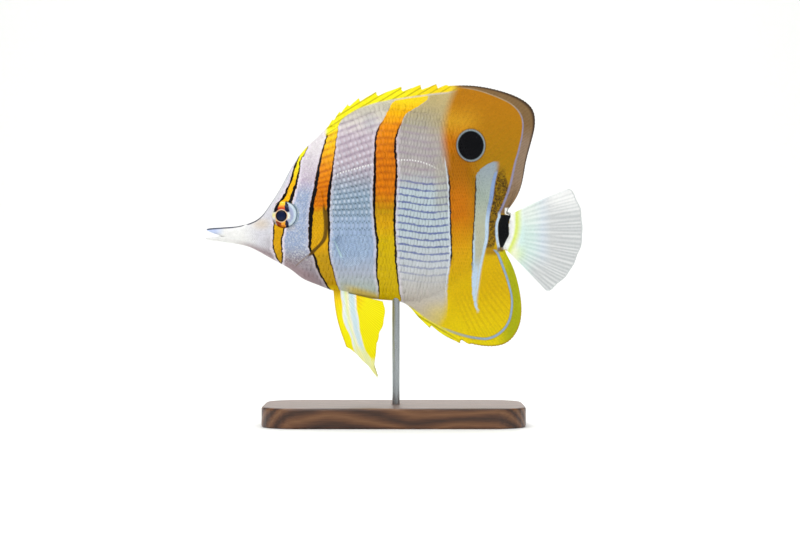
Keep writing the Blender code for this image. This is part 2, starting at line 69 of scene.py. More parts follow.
def spline(knots: Array, values: Array, at: Array) -> Array:
    """Natural cubic spline: each span is the cubic whose bend runs straight from knot to knot.

    Args:
        knots: Places of the knots, rising.
        values: One row of values for each knot.
        at: Places to read, held inside the first and last knot.

    Returns:
        One row of values for each place.
    """
    knots = np.asarray(knots, float)
    values = np.asarray(values, float).reshape(len(knots), -1)
    step = np.diff(knots)
    slope = np.diff(values, axis=0) / step[:, None]
    inner = np.arange(1, len(knots) - 1)
    system = np.eye(len(knots))
    system[inner, inner - 1] = step[:-1]
    system[inner, inner] = 2 * (step[:-1] + step[1:])
    system[inner, inner + 1] = step[1:]
    rhs = np.zeros_like(values)
    rhs[inner] = 6 * np.diff(slope, axis=0)
    bend = np.linalg.solve(system, rhs)
    at = np.clip(np.asarray(at, float), knots[0], knots[-1])
    k = np.clip(np.searchsorted(knots, at) - 1, 0, len(step) - 1)
    a = ((knots[k + 1] - at) / step[k])[..., None]
    b = 1 - a
    h = step[k][..., None] ** 2 / 6
    return a * values[k] + b * values[k + 1] + ((a**3 - a) * bend[k] + (b**3 - b) * bend[k + 1]) * h


def table(rows: Rows, at: Array) -> Array:
    """Reads a smooth curve through (place, value) rows at the places in at."""
    knots, values = zip(*rows)
    return spline(knots, values, at)[..., 0]


def ease(t: Array) -> Array:
    """Smooth step from 0 to 1: 3 t squared less 2 t cubed."""
    t = np.clip(t, 0, 1)
    return t * t * (3 - 2 * t)


def swell(distance: Array, reach: float) -> Array:
    """Bell shape of height 1: e to the minus square of distance over reach."""
    return np.exp(-(distance / reach) ** 2)


def spread(start: float, end: float, count: int, crowding: float = 0.0) -> Array:
    """Shares from start to end; crowding 1 draws them to both ends as a cosine does."""
    t = np.linspace(0, 1, count)
    return start + (end - start) * (t + ((1 - np.cos(np.pi * t)) / 2 - t) * crowding)


class Outline:
    """A margin of the side view, read by station, and behind the fan's start by its share of arc length."""

    def __init__(self, points: Rows, fan_start: float, fan_end: float) -> None:
        """Runs a spline through the points by chord length and measures its arc.

        Args:
            points: Places along the margin, front to rear.
            fan_start: Column where the fan of columns starts.
            fan_end: Column where it ends.
        """
        places = np.array(points)
        chord = np.concatenate([[0], np.cumsum(np.linalg.norm(np.diff(places, axis=0), axis=1))])
        self.line = spline(chord, places, np.linspace(0, chord[-1], 1600))
        along = np.linalg.norm(np.diff(self.line, axis=0), axis=1)
        self.arc = np.concatenate([[0], np.cumsum(along)])
        self.front = int(np.argmax(self.line[:, 0] > fan_start))
        self.fan = (fan_start, fan_end)

    def at(self, u: Array) -> Array:
        """Side view places of the margin on columns u.

        Args:
            u: Columns.

        Returns:
            Places on the margin, one for each column.
        """
        u = np.asarray(u, float)
        start, end = self.fan
        front = slice(0, self.front + 1)
        by_station = np.interp(u, self.line[front, 0], self.arc[front])
        share = np.clip((u - start) / (end - start), 0, 1)
        fan_arc = np.interp(start, self.line[front, 0], self.arc[front])
        arc = np.where(u > start, fan_arc + share * (self.arc[-1] - fan_arc), by_station)
        return np.stack([np.interp(arc, self.arc, self.line[:, k]) for k in (0, 1)], axis=-1)


@dataclass
class SpineRow:
    """The spines at the front of a fin: its margin rises along each one and drops to a notch behind it."""

    margin: Outline
    notches: tuple[float, ...]
    upward: int
    tip: float = 0.86
    rise: float = 2.0
    lean: float = 0.16

    @property
    def count(self) -> int:
        """Number of spines."""
        return len(self.notches) - 1

    def phase(self, station: Array) -> Array:
        """Number of spines passed at a station of the margin, straight from notch to notch."""
        return np.interp(station, self.notches, np.arange(self.count + 1))

    def station(self, phase: Array) -> Array:
        """Station of the margin where a number of spines has been passed."""
        return np.interp(phase, np.arange(self.count + 1), self.notches)

    def offsets(self, station: Array) -> Array:
        """Side view offsets of the margin: it rises slowly along each spine, then drops behind its tip.

        Args:
            station: Stations of the margin.

        Returns:
            Offsets behind and above.
        """
        phase = self.phase(station)
        place = phase % 1
        pitch = np.diff(self.notches)[np.clip(phase.astype(int), 0, self.count - 1)]
        rise = np.where(place < self.tip, place / self.tip, (1 - place) / (1 - self.tip))
        size = (rise - 0.45) * ease((phase + 0.3) / 1.2) * ease((self.count - phase) / 0.4)
        size = size * np.sqrt(np.minimum(pitch / 8, 1))
        return np.stack([self.lean * pitch * np.maximum(size, 0), self.upward * self.rise * size], axis=-1)


@dataclass
class FishForm:
    """The body's form, in millimetres: outlines, half widths, and the fine relief of skin and fins."""

    snout_end: float = 20.5
    dorsal_origin: float = 48.4
    fan_start: float = 78.0
    spines_end: float = 86.3
    anal_spines_end: float = 94.0
    dorsal_notches: tuple[float, ...] = (49.2, 51.4, 54.2, 57.6, 62.0, 69.0, 79.2, 86.8, 93.2, 97.6)
    anal_notches: tuple[float, ...] = (81.6, 90.6, 102.8, 106.7)
    stalk_end: float = 119.8
    mouth_corner: float = 6.6
    fin_root_half: float = 0.95
    fin_edge_half: float = 0.16
    coat_depth: float = 0.15
    back_outline: Rows = (
        (6.4, 2.2), (12.0, 2.7), (18.0, 4.1), (22.0, 6.3), (25.2, 10.2), (28.4, 15.0), (32.2, 21.7),
        (36.0, 28.6), (40.8, 34.6), (48.4, 41.8), (56.0, 50.0), (66.0, 54.8), (78.0, 57.4), (92.0, 58.5),
        (106.0, 59.0), (118.0, 56.9), (126.4, 53.6), (130.9, 49.6), (132.0, 44.0), (130.9, 38.0),
        (128.2, 27.6), (126.2, 18.0), (123.4, 12.3), (119.8, 7.6),
    )
    belly_outline: Rows = (
        (6.4, -3.5), (12.0, -4.3), (18.0, -5.8), (24.0, -8.9), (30.0, -12.2), (34.6, -14.9),
        (38.6, -18.0), (44.4, -20.6), (51.2, -23.2), (60.4, -25.3), (71.6, -26.9), (80.6, -28.7),
        (84.4, -32.6), (90.0, -37.5), (97.0, -41.6), (105.0, -44.0), (114.0, -45.3), (120.4, -44.0),
        (125.0, -38.8), (126.6, -31.6), (125.6, -22.0), (122.8, -12.8), (119.6, -6.8),
    )
    half_widths: Rows = (
        (6.4, 1.9), (12.0, 2.2), (18.0, 2.9), (24.0, 4.7), (30.0, 6.3), (38.0, 7.9), (48.0, 9.2),
        (58.0, 9.6), (70.0, 9.1), (82.0, 7.9), (94.0, 6.1), (104.0, 4.5), (112.0, 3.2), (120.0, 2.3),
    )
    reach_up: Rows = ((48.4, 31.9), (60.0, 33.0), (70.0, 35.0), (78.0, 35.2), (90.0, 32.0), (99.0, 22.8),
                      (105.0, 15.6), (110.0, 11.7), (115.0, 8.9), (120.0, 7.4))
    reach_down: Rows = ((78.0, 42.6), (84.0, 41.0), (90.0, 36.6), (99.0, 26.4), (105.0, 18.6), (110.0, 12.9),
                        (115.0, 9.2), (120.0, 7.4))
    gill_rows: Rows = ((0.0, 34.4), (0.1, 38.4), (0.2, 42.4), (0.25, 44.9), (0.3, 47.6), (0.35, 48.5),
                       (0.5, 48.0), (0.65, 46.2), (0.8, 44.4), (1.0, 42.4))
    lateral_line: Rows = ((46.0, 15.0), (52.4, 22.6), (60.0, 25.2), (66.8, 27.0), (78.0, 28.8), (84.0, 28.6),
                          (90.0, 26.8), (95.0, 23.8), (102.0, 14.0), (109.0, 6.0), (115.0, 1.8), (121.0, 0.6))
    eye_centre: tuple[float, float] = (32.1, 7.2)
    eye_radius: float = 5.4
    pectoral_root: tuple[float, float] = (50.6, -1.9)
    soft_dorsal_rays: int = 29
    soft_anal_rays: int = 20
    row_pitch: float = 2.8
    back: Outline = field(init=False)
    belly: Outline = field(init=False)
    dorsal_spines: SpineRow = field(init=False)
    anal_spines: SpineRow = field(init=False)

    def __post_init__(self) -> None:
        """Measures the two margins and sets the spines along them."""
        self.back = Outline(self.back_outline, self.fan_start, self.stalk_end)
        self.belly = Outline(self.belly_outline, self.fan_start, self.stalk_end)
        self.dorsal_spines = SpineRow(self.back, self.dorsal_notches, 1)
        self.anal_spines = SpineRow(self.belly, self.anal_notches, -1)

    def mid(self, u: Array) -> Array:
        """Middle of column u: halfway up the body, easing down to the tail stalk behind the fan's start.

        Args:
            u: Columns.

        Returns:
            Places on the mid line.
        """
        u = np.asarray(u, float)
        front = np.minimum(u, self.fan_start)
        half = (self.back.at(front) + self.belly.at(front)) / 2
        end = (self.back.at(self.stalk_end)[1] + self.belly.at(self.stalk_end)[1]) / 2
        share = ease((u - self.fan_start) / (self.stalk_end - self.fan_start))
        return np.stack([u, half[..., 1] + (end - half[..., 1]) * share], axis=-1)

    def side(self, u: Array, v: Array) -> Array:
        """Side view place on column u at share v: a parabola through belly, middle and back.

        Args:
            u: Columns.
            v: Shares of the columns.

        Returns:
            Side view places.
        """
        u, v = np.broadcast_arrays(np.asarray(u, float), np.asarray(v, float))
        t = v[..., None]
        return (self.belly.at(u) * (1 - t) * (1 - 2 * t) + self.mid(u) * 4 * t * (1 - t)
                + self.back.at(u) * t * (2 * t - 1))

    def reaches(self, u: Array) -> tuple[Array, Array]:
        """How far the flesh reaches up and down from the mid line on column u.

        Args:
            u: Columns.

        Returns:
            Reach above and reach below.
        """
        u = np.asarray(u, float)
        up = np.linalg.norm(self.back.at(u) - self.mid(u), axis=-1)
        down = np.linalg.norm(self.belly.at(u) - self.mid(u), axis=-1)
        up = np.where(u > self.dorsal_origin, np.minimum(up, table(self.reach_up, u)), up)
        down = np.where(u > self.fan_start, np.minimum(down, table(self.reach_down, u)), down)
        return up, down

    def gill(self, v: Array) -> Array:
        """Station of the gill cover's rear edge at share v."""
        return table(self.gill_rows, v)

    def crease(self, u: Array, v: Array) -> Array:
        """Shadow line under the gill cover's rear edge: a bell across the edge, where the flap is loose."""
        return swell(u - self.gill(v) - 0.1, 0.75) * ease((v - 0.17) / 0.05) * (1 - ease((v - 0.46) / 0.1))

    def fin_place(self, u: Array, v: Array) -> tuple[Array, Array]:
        """How far out of the flesh a place is, in millimetres, and as a share of the fin's height there.

        Args:
            u: Columns.
            v: Shares of the columns.

        Returns:
            Distances outside the flesh, and shares of the fin's height.
        """
        u, v = np.broadcast_arrays(np.asarray(u, float), np.asarray(v, float))
        up, down = self.reaches(u)
        above = v >= 0.5
        reach = np.where(above, up, down)
        edge = np.where(above[..., None], self.back.at(u), self.belly.at(u))
        distance = np.linalg.norm(self.side(u, v) - self.mid(u), axis=-1)
        margin = np.linalg.norm(edge - self.mid(u), axis=-1)
        outside = np.clip(distance - reach, 0, None)
        return outside, np.clip(outside / np.maximum(margin - reach, 1e-6), 0, 1)

    def rays(self, u: Array, v: Array, fin_share: Array) -> Array:
        """Height of the soft fin rays, 0 to 1: a cosine of the ray count, which doubles towards the margin.

        Args:
            u: Columns.
            v: Shares of the columns.
            fin_share: Shares of the fin's height.

        Returns:
            Heights of the rays.
        """
        above = v >= 0.5
        start = np.where(above, self.spines_end, self.anal_spines_end)
        count = np.where(above, self.soft_dorsal_rays, self.soft_anal_rays)
        phase = (u - start) / (self.stalk_end - start) * count
        single = 0.5 + 0.5 * np.cos(2 * np.pi * phase)
        double = 0.5 + 0.5 * np.cos(4 * np.pi * phase)
        branched = ease((fin_share - 0.55) / 0.3)
        return (single * (1 - branched) + double * branched) * ease((u - start) / 0.6)

    def half_width(self, u: Array, v: Array) -> Array:
        """Half thickness: a lens of flesh, joined to the thin fins above and below by the cube root of cubes.

        Args:
            u: Columns.
            v: Shares of the columns.

        Returns:
            Half widths.
        """
        u, v = np.broadcast_arrays(np.asarray(u, float), np.asarray(v, float))
        up, down = self.reaches(u)
        above = v >= 0.5
        distance = np.linalg.norm(self.side(u, v) - self.mid(u), axis=-1)
        height = np.clip(distance / np.where(above, up, down), 0, 1)
        trunk = ease((u - self.snout_end) / (self.dorsal_origin - self.snout_end))
        bluntness = 0.5 + trunk * np.where(above, 0.28, 0.12)
        flesh = table(self.half_widths, u) * (1 - height ** (2 + 0.5 * trunk)) ** bluntness
        flesh = flesh - self.coat_depth * ease(flesh / 1.2)
        starts = np.where(above, self.dorsal_origin, self.fan_start)
        _, share = self.fin_place(u, v)
        fin = self.fin_root_half + (self.fin_edge_half - self.fin_root_half) * share ** 0.6
        fin = (fin + 0.07 * self.rays(u, v, share) * ease(share / 0.3)) * ease((u - starts) / 5)
        return (flesh**3 + fin**3) ** (1 / 3)

    def relief(self, u: Array, v: Array) -> Array:
        """Fine heights on the flank, in millimetres: each feature is a bell or a step about its own line.

        Args:
            u: Columns.
            v: Shares of the columns.

        Returns:
            Heights over the plain form.
        """
        place = self.side(u, v)
        x, z = place[..., 0], place[..., 1]
        behind = u - self.gill(v)
        flap = ease((v - 0.12) / 0.08) * (1 - ease((v - 0.56) / 0.12))
        cover = np.where(behind < 0, 0.34 * np.exp(behind / 2.4), -0.32 * np.exp(-behind / 1.6)) * flap
        cheek_line = 39.6 + 0.012 * (z - 2) ** 2 - 0.04 * (z - 2)
        cheek = 0.16 * swell(x - cheek_line, 0.9) * ease((z + 14) / 5) * (1 - ease((z - 4) / 6))
        throat = -0.16 * swell((z + 13.2) - 0.81 * (x - 36.8), 0.5) * ease((x - 34) / 3) * ease((45 - x) / 3)
        shoulder = 0.4 * swell(np.hypot((x - self.pectoral_root[0]) / 1.8,
                                        (z - self.pectoral_root[1]) / 2.6), 1)
        line = 0.07 * swell(z - table(self.lateral_line, x), 0.4) * ease((x - 46) / 2) * ease((121 - x) / 3)
        nostril = -0.3 * (swell(np.hypot(x - 25.6, z - 7.4), 0.36) + swell(np.hypot(x - 26.8, z - 8.0), 0.3))
        muscle = 0.05 * np.sin(x * 0.55 + 1.2 * np.sin(z * 0.16)) * ease((x - 50) / 8)
        lip = 0.12 * swell(z - (0.35 - 0.12 * x), 0.45) * ease((x - 7) / 2) * (1 - ease((x - 19) / 6))
        return cover + cheek + throat + shoulder + line + nostril + muscle + lip

    def orbit(self, x: Array, z: Array) -> Array:
        """Depth of the eye socket: none outside the orbit, 3.4 mm inside it."""
        away = np.hypot((x - self.eye_centre[0]) * 1.02, z - self.eye_centre[1])
        return 3.4 * (1 - ease((away - self.eye_radius + 0.6) / 0.7))

    def skin(self, u: Array, v: Array) -> tuple[Array, Array]:
        """The skin's side view places and half widths.

        Args:
            u: Columns.
            v: Shares of the columns.

        Returns:
            Places behind the tip and above the axis, and half widths, in millimetres.
        """
        u, v = np.broadcast_arrays(np.asarray(u, float), np.asarray(v, float))
        place = self.side(u, v)
        width = self.half_width(u, v)
        _, share = self.fin_place(u, v)
        fleshy = ease((width - 1.0) / 2.0)
        width = width + self.relief(u, v) * fleshy * (share <= 0)
        width = width - self.orbit(place[..., 0], place[..., 1])
        for spines, above in ((self.dorsal_spines, True), (self.anal_spines, False)):
            margin = spines.margin.at(u)[..., 0]
            side = (v > 0.5) if above else (v < 0.5)
            place = place + spines.offsets(margin) * (share**2 * side)[..., None]
        scallop = 0.18 * (self.rays(u, v, np.ones_like(u)) - 0.5) * share**6 * ease((u - self.spines_end) / 3)
        outwards = place - self.mid(u)
        length = np.linalg.norm(outwards, axis=-1)
        edge = np.where((v > 0.5)[..., None], self.back.at(u), self.belly.at(u))
        to_edge = np.linalg.norm(edge - self.side(u, v), axis=-1)
        bare = 1 - ease(share / 0.05)
        inset = 0.12 * bare * ease((u - 7) / 6) * (length / np.maximum(length + to_edge, 1e-6)) ** 4
        place = place + outwards / np.maximum(length, 1e-6)[..., None] * (scallop - inset)[..., None]
        rim = np.clip(1 - to_edge / 0.5, 0, 1)
        rounding = np.where(share > 0.02, np.sqrt(np.clip(1 - rim**2, 0, 1)), 1)
        return place, np.maximum(width, 0.02 * (to_edge > 1e-6)) * rounding

    def points(self, u: Array, v: Array, side: Side, lift: Array | float = 0.0) -> Array:
        """Places on the skin in fish millimetres (behind the tip, to the right, above the axis)."""
        place, width = self.skin(u, v)
        return np.stack([place[..., 0], side.value * (width + lift), place[..., 1]], axis=-1)

    def row_rise(self, x: Array, z: Array) -> Array:
        """How far a row of scales has risen at a station: rows climb in front of station 70, then sag."""
        climb = 0.36 * ease((z - 4) / 22) * np.minimum(x - 70, 0)
        return climb - 1.7 * ease((x - 75) / 15) + 0.6 * ease((x - 90) / 9)

    def row_phase(self, x: Array, z: Array) -> Array:
        """Number of the scale row at a side view place."""
        return (z - self.row_rise(x, z)) / self.row_pitch

    def share_of(self, x: Array, z: Array) -> Array:
        """Share of side view places in front of the fan, straight from belly to back."""
        low, high = self.belly.at(x)[..., 1], self.back.at(x)[..., 1]
        return (z - low) / np.maximum(high - low, 1e-6)

    def columns_at(self, x: Array, z: Array) -> tuple[Array, Array, Array]:
        """Column and share of side view places: read straight off in front, by Newton's steps in the fan.

        Args:
            x: Stations.
            z: Heights.

        Returns:
            Columns, shares, and whether each place is on the fish.
        """
        x, z = np.asarray(x, float), np.asarray(z, float)
        goal = np.stack([x, z], axis=-1)
        u, v = x.copy(), self.share_of(x, z)
        fan = x > self.fan_start - 2
        grid_u, grid_v = np.meshgrid(np.linspace(self.fan_start - 4, self.stalk_end, 60),
                                     np.linspace(0, 1, 50))
        grid = self.side(grid_u, grid_v).reshape(-1, 2)
        nearest = np.argmin(np.linalg.norm(goal[fan][:, None, :] - grid[None], axis=-1), axis=1)
        fan_u, fan_v = grid_u.ravel()[nearest], grid_v.ravel()[nearest]
        for _ in range(8):
            miss = goal[fan] - self.side(fan_u, fan_v)
            step = self.steps(fan_u, fan_v, miss)
            fan_u = np.clip(fan_u + step[..., 0], self.fan_start - 6, self.stalk_end)
            fan_v = np.clip(fan_v + step[..., 1], -0.05, 1.05)
        u[fan], v[fan] = fan_u, fan_v
        missed = np.linalg.norm(goal - self.side(u, np.clip(v, 0, 1)), axis=-1)
        return u, v, (v > 0) & (v < 1) & (missed < 0.1)

    def steps(self, u: Array, v: Array, offset: Array) -> Array:
        """Steps in (u, v) that move a place by a small side view offset, by the inverse of its slopes.

        Args:
            u: Columns.
            v: Shares of the columns.
            offset: Side view offsets to make.

        Returns:
            Steps in u and v.
        """
        here = self.side(u, v)
        along = (self.side(u + 0.05, v) - here) / 0.05
        up = (self.side(u, v + 0.001) - here) / 0.001
        det = along[..., 0] * up[..., 1] - along[..., 1] * up[..., 0]
        det = np.where(np.abs(det) < 1e-6, 1e-6, det)
        du = (offset[..., 0] * up[..., 1] - offset[..., 1] * up[..., 0]) / det
        dv = (along[..., 0] * offset[..., 1] - along[..., 1] * offset[..., 0]) / det
        return np.stack([du, dv], axis=-1)


def to_world(points: Array) -> Array:
    """Metres in the model's frame from fish millimetres."""
    return (points + np.array([-MIDDLE_STATION, 0, AXIS_HEIGHT])) * MM


def grid_faces(rows: int, columns: int, start: int = 0, flip: bool = False, closed: bool = False) -> Array:
    """Quads of a grid whose vertices are numbered row by row from start.

    Args:
        rows: Number of rows.
        columns: Number of columns.
        start: Number of the first vertex.
        flip: Whether the quads face the other way.
        closed: Whether each row runs round to its start.

    Returns:
        Vertex numbers, four to a quad.
    """
    index = np.arange(rows * columns).reshape(rows, columns) + start
    if closed:
        index = np.hstack([index, index[:, :1]])
    quads = np.stack([index[:-1, :-1], index[1:, :-1], index[1:, 1:], index[:-1, 1:]], axis=-1).reshape(-1, 4)
    return quads[:, ::-1] if flip else quads


def border(rows: int, columns: int) -> Array:
    """Numbers of a grid's border vertices, in order round it."""
    index = np.arange(rows * columns).reshape(rows, columns)
    return np.concatenate([index[:, 0], index[-1, 1:], index[-2::-1, -1], index[0, -2:0:-1]])


def raw_mesh(name: str, points: Array, polygons: list[Array]) -> bpy.types.Mesh:
    """A mesh from fish millimetres and stacks of polygons, each stack with its own number of corners.

    Args:
        name: Name that it gets.
        points: Places in fish millimetres.
        polygons: Stacks of vertex numbers.

    Returns:
        The mesh, shaded smooth.
    """
    mesh = bpy.data.meshes.new(name)
    mesh.vertices.add(len(points))
    mesh.vertices.foreach_set("co", to_world(points).astype(np.float32).ravel())
    sizes = np.concatenate([np.full(len(stack), stack.shape[1]) for stack in polygons])
    mesh.loops.add(int(sizes.sum()))
    corners = np.concatenate([stack.ravel() for stack in polygons])
    mesh.loops.foreach_set("vertex_index", corners.astype(np.int32))
    mesh.polygons.add(len(sizes))
    mesh.polygons.foreach_set("loop_start", np.concatenate([[0], np.cumsum(sizes)[:-1]]).astype(np.int32))
    mesh.polygons.foreach_set("use_smooth", np.ones(len(sizes), bool))
    mesh.update(calc_edges=True)
    return mesh


def set_attribute(mesh: bpy.types.Mesh, name: str, values: Array) -> None:
    """Stores one number, or one vector, on each vertex.

    Args:
        mesh: The mesh.
        name: The attribute's name.
        values: Values, one for each vertex.
    """
    kind = "FLOAT" if values.ndim == 1 else "FLOAT_VECTOR"
    layer = mesh.attributes.new(name, kind, "POINT")
    layer.data.foreach_set("value" if kind == "FLOAT" else "vector", values.astype(np.float32).ravel())


def turn_outwards(mesh: bpy.types.Mesh, merge: float = 0.0) -> None:
    """Turns all faces of a closed mesh outwards, after merging vertices closer than merge.

    Args:
        mesh: The mesh.
        merge: Distance in metres, or 0 for none.
    """
    shape = bmesh.new()
    shape.from_mesh(mesh)
    if merge:
        bmesh.ops.remove_doubles(shape, verts=shape.verts, dist=merge)
    bmesh.ops.recalc_face_normals(shape, faces=shape.faces)
    shape.to_mesh(mesh)
    shape.free()


def add_piece(mesh: bpy.types.Mesh, finish: bpy.types.Material,
              replaces: tuple = ()) -> bpy.types.Object:
    """Links a finished mesh as a piece that rides on the model, with its finish and slot.

    Args:
        mesh: The mesh.
        finish: Its material.
        replaces: Solids that it stands for.

    Returns:
        The piece's object.
    """
    piece = bpy.data.objects.new(mesh.name, mesh)
    bpy.context.scene.collection.objects.link(piece)
    mesh.materials.append(finish)
    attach(piece, "root")
    if replaces:
        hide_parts(*replaces)
    LOG.info("%s: %d triangles", piece.name, sum(len(p.vertices) - 2 for p in mesh.polygons))
    return piece


class Pigment(Enum):
    """Colours of the living fish and its stand, as sRGB hex values."""

    BLACK = "#030408"
    NAVY = "#141B38"
    WHITE = "#F4F5F2"
    PEARL = "#ECECEA"
    BEAK_BLUE = "#C3D0F0"
    TAN = "#DCC6A2"
    FOREHEAD = "#D8D7DE"
    FOREHEAD_BLUE = "#C0CEE4"
    # Painted shade under the jaw.
    CHIN_SHADE = "#9C878C"
    THROAT = "#968C94"
    # Painted shade on the orbit's rear rim.
    EYE_RIM_SHADE = "#6F8A8C"
    CHEEK_BLUE = "#9CACCB"
    NAPE_LILAC = "#C2B3C6"
    NAPE_PALE = "#DCD5D9"
    FLANK_BLUE = "#9DB2D0"
    FLANK_SLATE = "#8FA4BA"
    FLANK_CREAM = "#CBC6AE"
    FLANK_GREY = "#A0A2B0"
    FLANK_MIST = "#B0B8C8"
    # Painted shadow between rows of scales.
    ROW_SHADOW_TEAL = "#4A5F66"
    FLANK_ROSE = "#C3B5BF"
    FLANK_PALE = "#D6CFCC"
    SAGE = "#B2BEB4"
    MIST = "#BCCAD0"
    MIST_PALE = "#C8CDD2"
    BEIGE = "#C6BEB2"
    KHAKI = "#A9A38C"
    KHAKI_WARM = "#C0AE7B"
    TAUPE = "#AEA8A6"
    FRINGE = "#E6DCE8"
    # Painted highlight on scale centres; also the real white stripe in front of the fourth band.
    BEAD_HIGHLIGHT_AND_STRIPE = "#DDE6F2"
    # The next three colours are painted shade where rows of scales meet.
    ROW_SHADE_BLUE = "#5B69A0"
    ROW_SHADE_DARK = "#5F6C7C"
    ROW_SHADE_ROSE = "#A090A0"
    LEMON = "#FBDA1C"
    AMBER = "#FABB08"
    ORANGE = "#EE920A"
    # Painted shade along the scale rows inside the bands.
    RUST = "#DC7C08"
    ROW_SHADE_RUST = "#A44404"
    BAND_YELLOW = "#D0B004"
    GOLD = "#D8A20A"
    OCHRE = "#BE930A"
    SPINE_YELLOW = "#FAF01E"
    LOBE_YELLOW = "#FBF006"
    SPINE_OLIVE = "#B4A412"
    BAND_COPPER = "#C67206"
    COPPER_DEEP = "#AE6A04"
    GOLD_BROWN = "#D29A20"
    COPPER = "#B87810"
    COPPER_DARK = "#A87A0C"
    MUSTARD = "#A88210"
    UMBER = "#644812"
    SOOT = "#241A08"
    MARGIN_BROWN = "#866A48"
    MARGIN_MAUVE = "#96806C"
    MARGIN_EDGE = "#3C2A20"
    LAVENDER = "#8E8EB0"
    RING_GREY = "#8C9AA0"
    WEDGE_TOP = "#96A2AC"
    WEDGE = "#A6B4A8"
    WEDGE_LOW = "#B9BCA6"
    PERIWINKLE = "#8AA2CE"
    ICE = "#BFD6EC"
    ANAL_GOLD = "#D9B204"
    ANAL_YELLOW = "#EED60A"
    ANAL_OLIVE = "#A9AC10"
    ANAL_BLUE = "#8FB0CE"
    TAIL_LIME = "#DBEA70"
    TAIL_AQUA = "#D2EAE4"
    TAIL_MILK = "#CDD0D1"
    TAIL_WHITE = "#F6F7F6"
    STEEL = "#C6C9CB"
    TAIL_BLUE = "#D2DEE8"
    TAIL_CREAM = "#F4F6EE"
    # Painted sheen on the pectoral fins' front rays.
    CYAN_SHEEN = "#BFDCDE"
    FIN_ICE = "#EAF6F6"
    FIN_LIME = "#EEF6B4"
    FIN_CREAM = "#FAF6D8"
    FIN_MIST = "#D6EAF0"
    FIN_BLUE = "#CFE6EC"
    FIN_PRIMROSE = "#F6F6A2"
    IRIS_OCHRE = "#D2A20A"
    IRIS_BRONZE = "#B8690C"
    IRIS_ORANGE = "#EE9420"
    IRIS_HONEY = "#F8BE3C"
    IRIS_RUST = "#9A3C14"
    IRIS_RED = "#D24A28"
    IRIS_FLAME = "#EE8C1E"
    IRIS_GOLD = "#F8C81E"
    IRIS_LEMON = "#FCE352"
    IRIS_EMBER = "#8A3206"
    IRIS_PEARL = "#E2E1E2"
    IRIS_GLOW = "#F0E79C"
    IRIS_BROWN = "#6E5238"
    IRIS_SHADE = "#171018"
    IRIS_LILAC = "#9FA6C4"
    IRIS_BLUE = "#A9B2D0"
    IRIS_SKY = "#C6D8E8"
    IRIS_ICE = "#E2F0F4"
    IRIS_TEAL = "#8FA4A8"
    IRIS_CREAM = "#EFF2DE"
    IRIS_NAVY = "#151C3A"
    PUPIL_RING = "#E6BE98"
    PUPIL_NAVY = "#122040"
    PUPIL_INK = "#121B38"
    PUPIL_BLACK = "#07070C"
    WALNUT_DARK = "#2E1A0F"
    WALNUT = "#4A2C1A"
    WALNUT_PALE = "#6A4428"
    WALNUT_SAP = "#7E5636"


def linear(colour: Pigment) -> tuple[float, float, float, float]:
    """Linear RGBA of a pigment's sRGB hex value."""
    parts = [int(colour.value[i:i + 2], 16) / 255 for i in (1, 3, 5)]
    return (*[p / 12.92 if p <= 0.04045 else ((p + 0.055) / 1.055) ** 2.4 for p in parts], 1.0)


def add_node(tree: bpy.types.NodeTree, kind: str, feeds: dict | None = None,
             **settings: object) -> bpy.types.Node:
    """Adds a node with its settings and links.

    Args:
        tree: Node tree that gets the node.
        kind: Blender's name for the node.
        feeds: What each input gets, by its name or number: another node's output, or a fixed value.
        settings: The node's own options.

    Returns:
        The new node.
    """
    node = tree.nodes.new(kind)
    for option, value in settings.items():
        setattr(node, option, value)
    for key, value in (feeds or {}).items():
        if isinstance(value, bpy.types.NodeSocket):
            tree.links.new(value, node.inputs[key])
        else:
            node.inputs[key].default_value = linear(value) if isinstance(value, Pigment) else value
    return node


HEIGHTS = (-50.0, 62.0)
STATIONS = (0.0, 152.0)
ANGLES = (-math.pi, math.pi)
RADII = (0.0, 60.0)
WIDTHS = (0.0, 5.0)
EYE_SPAN = (-8.0, 8.0)
EYE_RADII = (0.0, 8.0)
SHARES = (0.0, 1.0)
OPEN = (None, None)


